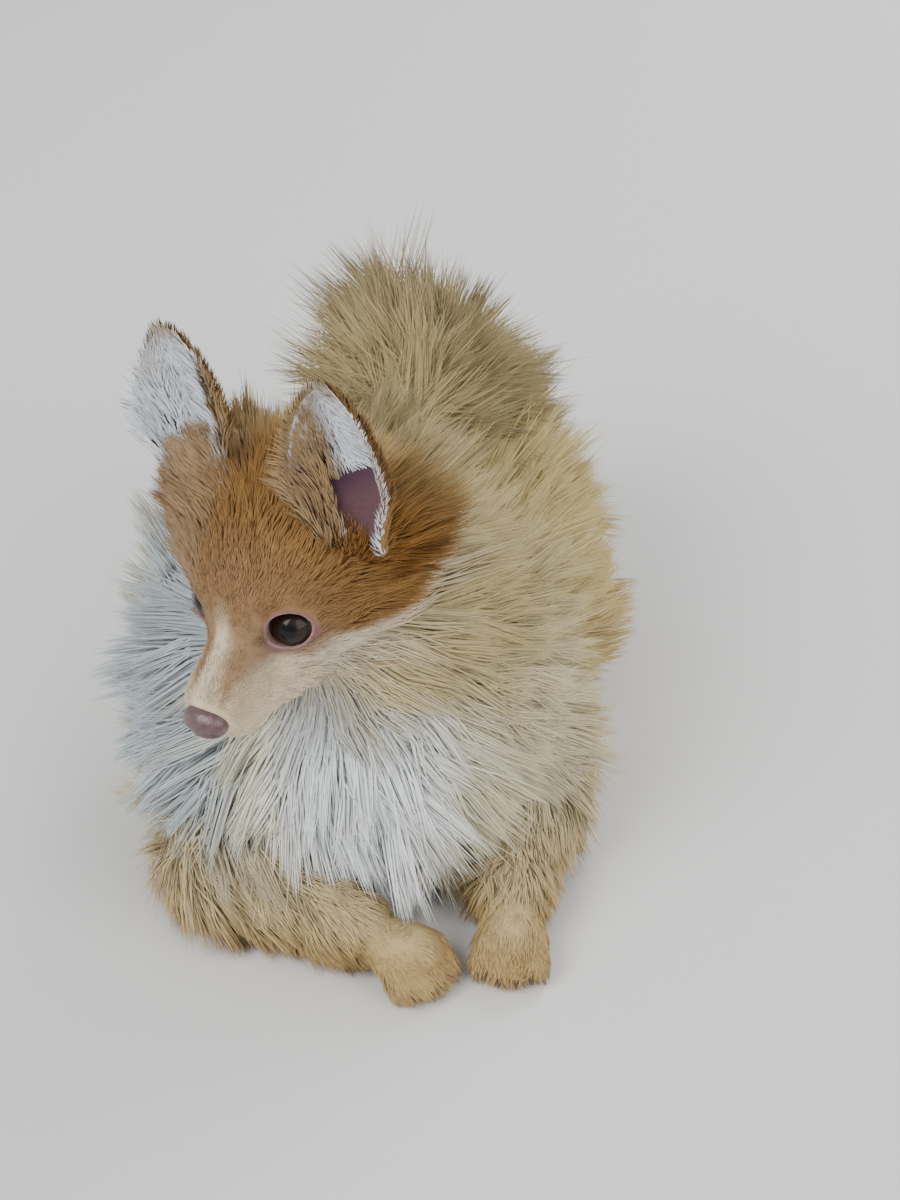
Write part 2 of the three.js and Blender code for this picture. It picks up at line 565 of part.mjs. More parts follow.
const legCoat = (field, paw) => grown(field, (p) => lerp(1.6, LEG_DEPTH, smooth(p.distanceTo(paw), 14, 34)));
function foreleg(leg, locks, grow = 0) {
  const { elbow, wrist, paw } = leg;
  const ahead = paw.clone().addScaledVector(paw.clone().sub(wrist).setZ(0).normalize(), PAW_WIDTH * 0.3);
  const spine = spineOf(elbow, wrist, paw, ahead);
  const core = shellAround(spine, grown(legCoat(forelegFlesh(leg), paw), grow), { rings: 10, caps: 3, sides: 14 });
  return overFloor(coatSolid(join([core, ...clawsOf(wrist, paw, grow)]), locks, grow));
}
function hindleg(leg, locks, grow = 0) {
  const { hock, paw } = leg;
  const thigh = shellAround(thighSpine(leg), grown(breechCore(leg), grow), { rings: 2, caps: 3, sides: 12 });
  const ahead = paw.clone().addScaledVector(paw.clone().sub(hock).setZ(0).normalize(), PAW_WIDTH * 0.3);
  const foot = shellAround(spineOf(hock.clone().setZ(11), ahead.setZ(9)),
    grown(legCoat(blend(4, taper(hock, paw, 9, 9), pawField(hock, paw)), paw), grow), { rings: 6, caps: 2, sides: 12 });
  return overFloor(coatSolid(join([thigh, foot, ...clawsOf(hock, paw, grow)]), locks, grow));
}

// Build each part, and cut it clear of the ones made before it
const locksOfForelegs = { right: featherLocks(forelegs.right), left: featherLocks(forelegs.left) };
const locksOfHindlegs = { right: breechLocks(hindlegs.right), left: breechLocks(hindlegs.left) };
const legSides = ["left", "right"];
const headInPlace = placed(headSolid(GAP), headMatrix);
const earsInPlace = [-1, 1].map((sign) => placed(ear(sign, GAP), headMatrix));
const forelegsGrown = legSides.map((name) => foreleg(forelegs[name], locksOfForelegs[name], GAP));
const hindlegsGrown = legSides.map((name) => hindleg(hindlegs[name], locksOfHindlegs[name], GAP));

const neckShell = (grow) => shellAround(ruffSpine, grown(neckCore, grow), { rings: 8, caps: 2, sides: 16 });
const neckRaw = (grow) => coatSolid(neckShell(grow).subtract(behindNeck(grow)), ruffLocks, grow);
const neck = largest(overFloor(neckRaw(0)).subtract(join([headInPlace, ...earsInPlace, ...forelegsGrown])));
const neckGrown = overFloor(neckRaw(GAP));

const tailShell = (grow) => shellAround(tailSpine, grown(tailCore, grow), { rings: 9, caps: 2, sides: 8 });
const tailGrown = coatSolid(tailShell(GAP), plumeLocks, GAP);
const tail = largest(coatSolid(tailShell(0), plumeLocks, 0).subtract(join([headInPlace, ...earsInPlace, neckGrown])));

const trunkShell = shellAround(backSpine, trunkCore, { rings: 6, caps: 3, sides: 16 }).intersect(behindNeck(GAP));
const torso = largest(
  overFloor(coatSolid(trunkShell, backLocks, 0)).subtract(
    join([headInPlace, neckGrown, tailGrown, ...forelegsGrown, ...hindlegsGrown]),
  ),
);
const leftForeleg = largest(foreleg(forelegs.left, locksOfForelegs.left));
const rightForeleg = largest(foreleg(forelegs.right, locksOfForelegs.right).subtract(forelegsGrown[0]));
const [leftHindleg, rightHindleg] = legSides.map((name) =>
  largest(hindleg(hindlegs[name], locksOfHindlegs[name]).subtract(join([neckGrown, ...forelegsGrown]))));

// Finishes
const finish = (color, roughness) => new THREE.MeshStandardMaterial({ color, roughness, metalness: 0 });
const tan = finish(0xb58a52, 0.95);
const cream = finish(0xd8cdb4, 0.95);
const russet = finish(0xa5733a, 0.95);
const noseBrown = finish(0x7a5556, 0.5);
const eyeBrown = finish(0x2a1c14, 0.08);

const group = new THREE.Group();
function add(parent, name, solid, material) {
  const mesh = new THREE.Mesh(toGeometry(solid), material);
  mesh.name = name;
  parent.add(mesh);
}
add(headGroup, "head", headSolid(), russet);
add(headGroup, "nose", nose, noseBrown);
["right", "left"].forEach((name, i) => {
  add(headGroup, "eye_" + name, eyes[i], eyeBrown);
  add(headGroup, "ear_" + name, ears[i], russet);
});
group.add(headGroup);
add(group, "neck", neck, cream);
add(group, "torso", torso, tan);
add(group, "tail", tail, cream);
add(group, "foreleg_left", leftForeleg, tan);
add(group, "foreleg_right", rightForeleg, tan);
add(group, "hindleg_left", leftHindleg, tan);
add(group, "hindleg_right", rightHindleg, tan);

export default group;
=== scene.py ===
# The looks of a life-size Pomeranian puppy that lies on its belly with its head turned.
# The camera, the floor and the lights are in metres. The puppy is in millimetres,
# which become metres where a mesh is made.
import math

import bmesh
import bpy
import numpy as np
from mathutils import Matrix, Vector
from mathutils.kdtree import KDTree
from numpy.linalg import norm


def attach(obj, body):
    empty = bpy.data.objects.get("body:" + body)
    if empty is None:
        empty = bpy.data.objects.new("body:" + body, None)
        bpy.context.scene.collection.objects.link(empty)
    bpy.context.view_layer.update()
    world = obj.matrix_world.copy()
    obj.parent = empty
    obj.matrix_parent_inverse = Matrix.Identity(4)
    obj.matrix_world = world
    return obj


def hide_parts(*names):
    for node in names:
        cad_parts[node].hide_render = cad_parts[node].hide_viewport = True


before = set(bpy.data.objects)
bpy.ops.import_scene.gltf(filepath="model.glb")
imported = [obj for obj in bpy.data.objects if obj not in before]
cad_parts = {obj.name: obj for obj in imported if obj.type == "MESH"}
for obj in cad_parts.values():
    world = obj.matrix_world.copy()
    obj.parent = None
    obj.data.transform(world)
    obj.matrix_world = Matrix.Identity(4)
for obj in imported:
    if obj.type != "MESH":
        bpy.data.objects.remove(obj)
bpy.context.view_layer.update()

# Camera: it stands in front of the puppy's left foreleg, about 0.8 metres away,
# and looks down on it at about 40 degrees.
CAMERA_AT = (0.1428, -0.6239, 0.600)
CAMERA_LOOKS = (-0.1604, 0.7548, -0.6361)
CAMERA_LENS, SENSOR_WIDTH = 63.3, 36.0


def aimed(way):
    """The turn that points a camera or a lamp along a way."""
    return Vector(way).to_track_quat("-Z", "Y").to_euler()


def placed(name, data):
    """A new object in the scene."""
    made = bpy.data.objects.new(name, data)
    bpy.context.scene.collection.objects.link(made)
    return made


camera = placed("camera", bpy.data.cameras.new("camera"))
camera.data.lens = CAMERA_LENS
camera.data.sensor_width = SENSOR_WIDTH
camera.location = CAMERA_AT
camera.rotation_euler = aimed(CAMERA_LOOKS)
bpy.context.scene.camera = camera

# Floor: a wide sheet of pale studio paper under the puppy, its corners in metres,
# so matt that it takes only the puppy's soft shadow.
FLOOR_CORNERS = [(-4, -4, 0), (4, -4, 0), (4, 6, 0), (-4, 6, 0)]
PAPER_TONE = (0.72, 0.71, 0.69, 1)


def give(node, socket, value):
    node.inputs[socket].default_value = value


def new_finish(name, rough):
    """A node material of one roughness, with its nodes and its shader."""
    made = bpy.data.materials.new(name)
    made.use_nodes = True
    nodes = made.node_tree.nodes
    give(nodes["Principled BSDF"], "Roughness", rough)
    return made, nodes, nodes["Principled BSDF"]


floor_mesh = bpy.data.meshes.new("floor")
floor_mesh.from_pydata(FLOOR_CORNERS, [], [(0, 1, 2, 3)])
floor = placed("floor", floor_mesh)
paper, nodes, shader = new_finish("pale_floor", 0.9)
give(shader, "Base Color", PAPER_TONE)
floor_mesh.materials.append(paper)

# Studio light: a large soft box from the upper left front, a weaker one from the right,
# one from behind that lights the tips of the coat, and a pale room round them.
LIGHT_AIM = (0, 0, 0.08)
ROOM_TONE, ROOM_STRENGTH = (0.93, 0.95, 1.0, 1), 0.55
for name, spot, size, power in (
    ("key_light", (-0.9, -1.1, 1.5), 1.2, 34),
    ("fill_light", (1.3, -0.7, 0.9), 1.4, 16),
    ("rim_light", (0.5, 1.2, 1.1), 0.9, 16),
):
    lamp = bpy.data.lights.new(name, "AREA")
    lamp.energy = power
    lamp.size = size
    lamp_object = placed(name, lamp)
    lamp_object.location = spot
    lamp_object.rotation_euler = aimed(Vector(LIGHT_AIM) - Vector(spot))
room = bpy.data.worlds.new("studio")
room.use_nodes = True
give(room.node_tree.nodes["Background"], "Color", ROOM_TONE)
give(room.node_tree.nodes["Background"], "Strength", ROOM_STRENGTH)
bpy.context.scene.world = room

# Skin: one loose hide over the whole body, with lids round the eyes, lips and toes.
# It is found where a soft blend of the flesh's plain forms ends, on the puppy's own sizes,
# and it is coloured as the coat over it, a little darker as painted shade under the coat, with pink lids
# and dark lips.
MM = 0.001
HEAD_AT = np.array([-33.0, -77.0, 144.0])
HEAD_PITCH, HEAD_ROLL, HEAD_YAW = 21.5, -5.6, -18.0
CHEST_WIDTH, CHEST_DEPTH, TRUNK_LENGTH = 88, 88, 178
PAW_WIDTH, MUZZLE_LENGTH, SKULL_WIDTH = 26, 34, 58
PAW_RISE, KNUCKLE_RISE, PAD_RISE = 9, 11.5, 6.6
EYE_RADIUS, EYE_ASIDE, EYE_FORWARD, EYE_RISE = 8.2, 16.4, -18.6, -0.2
LID_THICKNESS, LID_WIDTH, LID_HEIGHT, LID_SLANT = 1.1, 15.4, 14.8, 0.06
MOUTH_FRONT, MOUTH_BACK = -58, -33
SKIN_CELL, COARSE_CELLS = 1.7, 3
SKIN_LOW, SKIN_HIGH = (-108, -158, -6), (84, 116, 186)


def turn(angle, axis):
    return np.array(Matrix.Rotation(math.radians(angle), 3, axis))


HEAD_TURN = turn(HEAD_YAW, "Z") @ turn(HEAD_PITCH, "X") @ turn(HEAD_ROLL, "Y")


def headward(p):
    """Points of the body in the head's own axes: its left, backwards and up."""
    return (p - HEAD_AT) @ HEAD_TURN


def from_head(*point):
    return HEAD_TURN @ np.array(point, float) + HEAD_AT


def smooth(value, start, end):
    """Runs softly from 0 to 1 as the value goes from start to end."""
    t = np.clip((value - start) / (end - start), 0, 1)
    return t * t * (3 - 2 * t)


def unit(vectors):
    return vectors / np.maximum(norm(vectors, axis=-1, keepdims=True), 1e-9)


def oval(centre, radii):
    centre, radii = np.array(centre, float), np.array(radii, float)

    def depth(p):
        q = (p - centre) / radii
        near = norm(q, axis=1)
        return near * (near - 1) / np.maximum(norm(q / radii, axis=1), 1e-6)

    return depth


def limb(start, end, start_radius, end_radius):
    start, end = np.array(start, float), np.array(end, float)
    axis = end - start

    def depth(p):
        t = np.clip((p - start) @ axis / (axis @ axis), 0, 1)
        off_axis = norm(p - start - t[:, None] * axis, axis=1)
        return off_axis - start_radius - (end_radius - start_radius) * t

    return depth


def soft_union(first, second, softness):
    near = np.maximum(softness - np.abs(first - second), 0) / softness
    return np.minimum(first, second) - near * near * softness / 4


def soft_cut(first, second, softness):
    return -soft_union(-first, second, softness)


def melt(softness, *fields):
    """One flesh of several forms, with soft valleys between them."""

    def depth(p):
        found = fields[0](p)
        for field in fields[1:]:
            found = soft_union(found, field(p), softness)
        return found

    return depth


half_chest = CHEST_WIDTH / 2
trunk = melt(
    16,
    oval((0, -30, CHEST_DEPTH * 0.54), (half_chest, TRUNK_LENGTH * 0.29, CHEST_DEPTH * 0.51)),
    oval((0, 26, CHEST_DEPTH * 0.47), (half_chest * 0.86, TRUNK_LENGTH * 0.28, CHEST_DEPTH * 0.44)),
    oval((0, 58, CHEST_DEPTH * 0.48), (half_chest * 0.92, TRUNK_LENGTH * 0.2, CHEST_DEPTH * 0.45)),
)
neck = melt(18, limb((-4, -44, 74), from_head(0, 12, -8), 34, 26), oval((-2, -58, 50), (32, 26, 38)))
shoulders = melt(16, oval((-27, -40, 72), (58, 33, 41)), oval((-44, -70, 42), (37, 23, 27)))
skull = oval((1, 4, 4), (SKULL_WIDTH * 0.55, 31, 26))
brow = oval((0, -11, 6), (SKULL_WIDTH * 0.4, 19, 18.5))
ear_bases = oval((-26, 13, 26), (12, 12, 14)), oval((27, 14, 12), (10, 10, 10))
cheeks = [oval((sign * SKULL_WIDTH * 0.3, -3, -11), (14, 20, 14)) for sign in (1, -1)]
bridge = limb((0, -18, -6), (0, -20 - MUZZLE_LENGTH * 0.9, -10.5), 15.2, 9.4)
jaw = limb((0, -6, -25), (0, -45, -21), 17, 9)
lip_pads = [oval((sign * 6, -46, -15), (6.5, 9, 7.5)) for sign in (1, -1)]
head_flesh = melt(9, skull, *ear_bases, brow, *cheeks, bridge, jaw, *lip_pads)
# Each foreleg from elbow to wrist and paw, and each hind leg from stifle to hock and paw.
FORELEGS = {
    "right": ((-56, -104, 22), (-6, -119, 14), (22, -127, 11)),
    "left": ((50, -46, 24), (53, -90, 15), (57, -112, 11)),
}
SHOULDERS = {"right": (-36, -58, 52), "left": (34, -34, 52)}
HINDLEGS = {
    "right": ((-42, 22, 34), (-47, 74, 14), (-54, 16, 10)),
    "left": ((42, 22, 34), (47, 74, 14), (54, 16, 10)),
}


def toes_of(wrist, paw):
    """Knuckle, pad and way forward of each of a paw's four toes."""
    wrist, paw = np.array(wrist, float), np.array(paw, float)
    forward = unit((paw - wrist) * (1, 1, 0) + (0, -14, 0))
    across = np.cross((0, 0, 1), forward)
    for place in (-1.5, -0.5, 0.5, 1.5):
        reach = PAW_WIDTH * (0.26 if abs(place) > 1 else 0.38)
        knuckle = (paw + across * PAW_WIDTH * 0.2 * place) * (1, 1, 0) + (0, 0, KNUCKLE_RISE)
        pad = (paw + across * PAW_WIDTH * 0.24 * place + forward * reach) * (1, 1, 0) + (0, 0, PAD_RISE)
        yield knuckle, pad, forward


def paw_flesh(wrist, paw):
    toes = [limb(knuckle, pad, 4.9, 5.4) for knuckle, pad, forward in toes_of(wrist, paw)]
    return melt(1.4, oval(paw, (PAW_WIDTH * 0.42, PAW_WIDTH * 0.42, PAW_RISE)), *toes)


def foreleg_flesh(side):
    elbow, wrist, paw = FORELEGS[side]
    upper = limb(SHOULDERS[side], elbow, 20, 15)
    return melt(8, upper, limb(elbow, wrist, 15, 10.4), limb(wrist, paw, 10.4, 8), paw_flesh(wrist, paw))


def hindleg_flesh(side):
    stifle, hock, paw = (np.array(place, float) for place in HINDLEGS[side])
    middle = stifle + (hock - stifle) * 0.4
    thigh = oval((middle[0], middle[1], 34), (17, 34, 27))
    return melt(8, thigh, limb(hock, paw, 9, 9), paw_flesh(hock, paw))


TAIL_KNOTS = np.array([(-2, 84, 74), (-9, 94, 98), (-15, 90, 119), (-16, 72, 127), (-14, 48, 115)], float)
TAIL_RADIUS, TAIL_LENGTHS = 9, 8


def on_tail(t):
    place = np.clip(t, 0, 1) * (len(TAIL_KNOTS) - 1)
    return np.stack([np.interp(place, range(len(TAIL_KNOTS)), TAIL_KNOTS[:, k]) for k in range(3)], -1)


def tail_length(i):
    thick = TAIL_RADIUS - 0.6 * i
    return limb(on_tail(i / TAIL_LENGTHS), on_tail((i + 1) / TAIL_LENGTHS), thick, 8.4 - 0.6 * i)


tail_flesh = melt(7, *[tail_length(i) for i in range(TAIL_LENGTHS)])
fore_fields = {side: foreleg_flesh(side) for side in FORELEGS}
hind_fields = {side: hindleg_flesh(side) for side in HINDLEGS}


def eye_place(sign):
    """An eye's centre and gaze in the head: the left eye's for sign 1, the right eye's for -1."""
    return np.array([sign * EYE_ASIDE, EYE_FORWARD, EYE_RISE]), unit(np.array([sign * 0.38, -0.74, 0.55]))


def eye_axes(h, sign):
    """How far points lie inwards, upwards and out along the gaze from an eye's centre."""
    centre, gaze = eye_place(sign)
    across = unit(np.cross(gaze, (0, 0, 1)))
    q = h - centre
    return q @ across * sign, q @ np.cross(across, gaze), q @ gaze


def lid_edge(h, sign):
    """Distance from the edge of the lids, over the eye's front, and height along its gaze."""
    inward, rise, ahead = eye_axes(h, sign)
    tall = np.where(rise > -LID_SLANT * inward, LID_HEIGHT * 0.5, LID_HEIGHT * 0.44)
    ring = np.sqrt((inward / (LID_WIDTH / 2)) ** 2 + ((rise + LID_SLANT * inward) / tall) ** 2)
    return (ring - 1) * LID_HEIGHT * 0.5, ahead


def centre_height(h, sign):
    return (h - eye_place(sign)[0])[:, 2]


def corner_reach(h, sign):
    """How near a point is to either corner of the lids, where their bare skin is widest."""
    inward = eye_axes(h, sign)[0]
    low = smooth(centre_height(h, sign), 4, -2)
    return (smooth(-inward, 3, 8) + 0.5 * smooth(inward, 3, 8)) * low


def mouth_level(h):
    return -22 - 4.5 * smooth(h[:, 1], -50, -30)


def face_flesh(h):
    """The head with its lid bulges, open lids, the groove of the mouth and the nose's seat."""
    found = head_flesh(h)
    for sign in (-1, 1):
        bulge = norm(h - eye_place(sign)[0], axis=1) - EYE_RADIUS - LID_THICKNESS
        found = soft_union(found, bulge, 3.2)
    whole = found
    for sign in (-1, 1):
        edge, rise = lid_edge(h, sign)
        found = soft_cut(found, np.maximum(edge, 1.5 - rise), 0.9)
    groove = np.maximum(np.abs(h[:, 2] - mouth_level(h)) - 0.45, -whole - 1.5)
    groove = np.maximum(groove, np.maximum(h[:, 1] - MOUTH_BACK, MOUTH_FRONT - h[:, 1]))
    found = soft_cut(found, groove, 0.9)
    nose_seat = norm((h - (0, -60, -10.5)) / (1.1, 0.8, 0.85), axis=1) - 6.4
    return soft_cut(found, nose_seat, 1.0)


def body_flesh(p):
    found = soft_union(trunk(p) - 3, neck(p), 16)
    found = soft_union(found, shoulders(p), 16)
    for field in (*fore_fields.values(), *hind_fields.values()):
        found = soft_union(found, field(p), 5)
    return soft_union(found, tail_flesh(p), 8)


def skin_depth(p):
    found = soft_union(body_flesh(p), face_flesh(headward(p)), 5)
    return np.maximum(found, 0.7 - p[:, 2])


def values_of(field, low, high, cell):
    """A field's values on a fine lattice, found in full only near where the field is zero."""
    coarse_count = np.ceil((high - low) / (cell * COARSE_CELLS)).astype(int) + 1
    count = (coarse_count - 1) * COARSE_CELLS + 1

    def lattice(size, step):
        rows = [low[k] + step * np.arange(size[k]) for k in range(3)]
        return np.stack(np.meshgrid(*rows, indexing="ij"), -1)

    coarse = field(lattice(coarse_count, cell * COARSE_CELLS).reshape(-1, 3)).reshape(coarse_count)
    nearest = [np.round(np.arange(n) / COARSE_CELLS).astype(int) for n in count]
    value = coarse[np.ix_(*nearest)].copy()
    band = np.abs(value) < cell * 5
    value[band] = field(lattice(count, cell)[band])
    return value


def surface_of(field, low, high, cell):
    """The closed surface where a field is zero: one point in each cell that it crosses."""
    low, high = np.array(low, float), np.array(high, float)
    value = values_of(field, low, high, cell)
    inside, cells = value < 0, np.array(value.shape) - 1
    total, hits, rings = np.zeros((*cells, 3)), np.zeros(cells), []
    for axis in range(3):
        one, two = [k for k in range(3) if k != axis]
        span, ahead = [slice(None)] * 3, [slice(None)] * 3
        span[axis], ahead[axis] = slice(0, -1), slice(1, None)
        edge = np.argwhere(inside[tuple(span)] != inside[tuple(ahead)])
        after = edge.copy()
        after[:, axis] += 1
        a, b = value[tuple(edge.T)], value[tuple(after.T)]
        place = low + cell * edge
        place[:, axis] += cell * a / (a - b)
        ring = []
        for u, w in ((0, 0), (-1, 0), (-1, -1), (0, -1)):
            around = edge.copy()
            around[:, one] += u
            around[:, two] += w
            np.add.at(total, tuple(around.T), place)
            np.add.at(hits, tuple(around.T), 1)
            ring.append(around)
        rings.append((ring, inside[tuple(edge.T)] ^ (axis == 1)))
    number = np.full(hits.shape, -1)
    number[hits > 0] = np.arange((hits > 0).sum())
    faces = []
    for ring, outward in rings:
        quads = np.stack([number[tuple(around.T)] for around in ring], 1)
        quads[~outward] = quads[~outward][:, ::-1]
        faces.append(quads)
    return total[hits > 0] / hits[hits > 0][:, None], np.concatenate(faces)


def slope(field, p, step=0.35):
    return np.stack([(field(p + step * e) - field(p - step * e)) / (2 * step) for e in np.eye(3)], -1)


def settle(field, p, rounds=2):
    """Moves points onto a field's surface."""
    for _ in range(rounds):
        steep = slope(field, p)
        shift = (field(p) / np.maximum((steep**2).sum(1), 0.2))[:, None] * steep
        length = norm(shift, axis=1, keepdims=True)
        p = p - shift * np.minimum(1, 0.8 / np.maximum(length, 1e-9))
    return p


def read(items, what, width, kind=float):
    """What the items of a mesh say, as one row of numbers for each."""
    found = np.zeros(len(items) * width, kind)
    items.foreach_get(what, found)
    return found.reshape(-1, width)


def points_of(mesh):
    return read(mesh.vertices, "co", 3) / MM


def set_points(mesh, p):
    mesh.vertices.foreach_set("co", (p * MM).astype(np.float32).ravel())
    mesh.update()


def piece(name, mesh, material):
    """A smooth-shaded object of one material."""
    made = placed(name, mesh)
    mesh.materials.clear()
    mesh.materials.append(material)
    mesh.polygons.foreach_set("use_smooth", np.ones(len(mesh.polygons), bool))
    return made


def unwrap(made):
    """An even unwrap of the piece's own shape."""
    made.data.uv_layers.new(name="OFBake")
    bpy.context.view_layer.objects.active = made
    bpy.ops.object.select_all(action="DESELECT")
    made.select_set(True)
    bpy.ops.object.mode_set(mode="EDIT")
    bpy.ops.mesh.select_all(action="SELECT")
    bpy.ops.uv.smart_project(angle_limit=math.radians(66), island_margin=0.002)
    bpy.ops.object.mode_set(mode="OBJECT")


# The coat's colours, from the gold back to the white bib, the russet cap and the pale muzzle.
GOLD = (0.58, 0.46, 0.20)
NAPE_CREAM = (0.50, 0.40, 0.205)
RUFF_CREAM = (0.68, 0.61, 0.41)
# The right side's white coat, painted as the blue-grey it looks in shade.
SHADED_RIGHT_WHITE = (0.45, 0.505, 0.525)
BIB_WHITE = (0.93, 0.97, 0.97)
LEG_TAN = (0.56, 0.40, 0.18)
PAW_TAN = (0.46, 0.31, 0.125)
TUFT_DUN = (0.34, 0.255, 0.14)
RUSSET = (0.29, 0.15, 0.045)
DARK_RUSSET = (0.32, 0.145, 0.03)
FOREHEAD = (0.29, 0.17, 0.08)
GREY_TAN = (0.36, 0.25, 0.145)
CHEEK_CREAM = (0.74, 0.64, 0.47)
MUZZLE_CREAM = (0.82, 0.68, 0.48)
MUZZLE_TAN = (0.47, 0.35, 0.21)
CORNER_TAN = (0.17, 0.085, 0.038)
LID_PINK = (0.44, 0.27, 0.23)
LID_MAUVE = (0.20, 0.10, 0.10)
LIP_DARK = (0.16, 0.09, 0.08)
NECK_JOINT_Y, NECK_JOINT_Z, NECK_JOINT_LEAN = -34, 70, -24


def joint_side(p):
    """How far a point lies behind the neck's joint with the trunk."""
    lean = math.radians(NECK_JOINT_LEAN)
    return (p[:, 1] - NECK_JOINT_Y) * math.cos(lean) + (p[:, 2] - NECK_JOINT_Z) * math.sin(lean)


def shares(p):
    """How much of the head, the tail, the forelegs and the hind legs a point of the skin belongs to."""
    head = 1 - smooth(head_flesh(headward(p)), 1, 8)
    tail = 1 - smooth(tail_flesh(p), 1, 7)
    fore = np.zeros(len(p))
    for elbow, wrist, paw in FORELEGS.values():
        arm = melt(6, limb(elbow, wrist, 15, 10.4), limb(wrist, paw, 10.4, 8), paw_flesh(wrist, paw))
        fore = np.maximum(fore, 1 - smooth(arm(p), 1, 6))
    hind = np.zeros(len(p))
    for field in hind_fields.values():
        hind = np.maximum(hind, 1 - smooth(field(p), 1, 6))
    return head, tail, fore, hind


def lay(tone, colour, share):
    """Lays a colour over the tones, as far as its share goes at each point."""
    tone[:] = tone * (1 - share[:, None]) + np.array(colour) * share[:, None]


def mark_body(tone, p, tail, fore, hind):
    """Cream nape and ruff, a right side whose white coat is painted blue-grey as shade, a white bib and
    tan legs, over the gold.
    """
    x, y, z = p.T
    front = smooth(-joint_side(p), -22, 14)
    lay(tone, NAPE_CREAM, front * 0.8)
    lay(tone, RUFF_CREAM, front * smooth(-z, -110, -68))
    # Painted shade: the white coat of the right side is coloured blue-grey, as it looks in shade.
    lay(tone, SHADED_RIGHT_WHITE, smooth(-x, 30, 56) * smooth(-y, 26, 62) * smooth(z, 26, 60))
    lay(tone, LEG_TAN, front * smooth(-x, 20, 50) * smooth(-z, -56, -28) * 0.8)
    bib = smooth(-y, 62, 84) * (1 - smooth(np.abs(x + 10), 12, 32))
    lay(tone, BIB_WHITE, bib * smooth(z, 16, 34) * smooth(-z, -112, -92))
    lay(tone, NAPE_CREAM, tail * 0.7)
    lay(tone, TUFT_DUN, tail * smooth(z, 118, 140) * 0.65)
    lay(tone, LEG_TAN, hind * 0.7)
    lay(tone, LEG_TAN, fore * smooth(-z, -46, -26))
    lay(tone, RUFF_CREAM, fore * smooth(z, 14, 30) * 0.35)
    lay(tone, PAW_TAN, fore * smooth(-z, -24, -12) * 0.6)


def mark_head(tone, h, head):
    """A russet cap down to the eyes, a cream muzzle and cheeks, and a pale streak on the bridge."""
    aside, back, rise = h.T
    lay(tone, CHEEK_CREAM, head)
    lay(tone, MUZZLE_CREAM, head * smooth(-back, 18, 30))
    cap = smooth(rise + 1.5 + 11 * smooth(back, -24, -8) - 8 * smooth(-back, 24, 34), -3.5, 3.5)
    lay(tone, RUSSET, head * cap)
    lay(tone, FOREHEAD, head * cap * smooth(-back, 2, 22) * 0.8)
    lay(tone, GREY_TAN, head * cap * smooth(-aside, 8, 24) * 0.8)
    for sign in (-1, 1):
        round_eye = norm((h - (sign * 17, -20, -1)) / (11, 12, 10.5), axis=1)
        lay(tone, FOREHEAD, head * (1 - smooth(round_eye, 0.75, 1.3)) * 0.75)
        top_side = (1 - smooth(np.abs(aside - sign * 6), 4, 11)) * smooth(-back, 26, 34)
        top_side = top_side * smooth(rise, -17, -9)
        lay(tone, MUZZLE_TAN, head * top_side * (1 - 0.6 * smooth(-back, 50, 62)) * 0.65)
        corner = norm((h - (sign * 11, -31, 1)) / (6, 9, 7), axis=1)
        lay(tone, CORNER_TAN, head * (1 - smooth(corner, 0.4, 1.4)) * 0.8)
        side_band = np.abs(aside - sign * 6) / 4.6 + smooth(-back, 40, 60)
        band = (1 - smooth(side_band, 0.3, 1.3)) * smooth(-back, 20, 28) * smooth(rise, -11, -5)
        lay(tone, FOREHEAD, head * band * 0.85)
        behind = norm((h - (sign * 37, 20, 16)) / (21, 18, 21), axis=1)
        lay(tone, DARK_RUSSET, (1 - smooth(behind, 0.4, 1.3)) * 0.85)
    streak = (1 - smooth(np.abs(aside + 2), 1.4, 3.8)) * smooth(-back, 27, 37) * smooth(rise, -12, -6)
    lay(tone, MUZZLE_CREAM, head * streak * 0.8)


def markings(p):
    """The coat's colour at points of the skin, from where they lie on the puppy."""
    head, tail, fore, hind = shares(p)
    tone = np.tile(np.array(GOLD), (len(p), 1))
    mark_body(tone, p, tail, fore, hind)
    mark_head(tone, headward(p), head)
    return tone


def bare_skin(p):
    """The skin's colour: the markings darkened a little as painted shade under the coat, with pink lid
    rims, mauve lids and dark lips.
    """
    h = headward(p)
    # Painted shade: the markings are darkened a little where the skin lies under the coat.
    tone = markings(p) * 0.92
    for sign in (-1, 1):
        edge, rise = lid_edge(h, sign)
        near = smooth(rise, -4, 2)
        below = smooth(centre_height(h, sign), 3, -3)
        reach = 2.0 * corner_reach(h, sign)
        bare = 1 - smooth(edge, 1.0 + 0.8 * below + reach, 2.0 + 1.8 * below + reach)
        lay(tone, LID_MAUVE, near * bare * 0.85)
        lay(tone, LID_PINK, near * (1 - smooth(edge, 0.5, 1.0)) * 0.5)
        lay(tone, LIP_DARK, near * (1 - smooth(edge, -0.4, 0.25)))
    lips = 1 - smooth(np.abs(h[:, 2] - mouth_level(h)), 0.5, 1.7)
    lay(tone, LIP_DARK, lips * (h[:, 1] < MOUTH_BACK) * (h[:, 1] > MOUTH_FRONT))
    return tone


def paint(mesh, tone):
    hue = mesh.color_attributes.new("coat_tone", "FLOAT_COLOR", "POINT")
    rgba = np.ones((len(tone), 4), np.float32)
    rgba[:, :3] = np.clip(tone, 0, 1)
    hue.data.foreach_set("color", rgba.ravel())


def wire(source, given_by, target, taken_by):
    """Links an output of one node to an input of another."""
    source.id_data.links.new(source.outputs[given_by], target.inputs[taken_by])


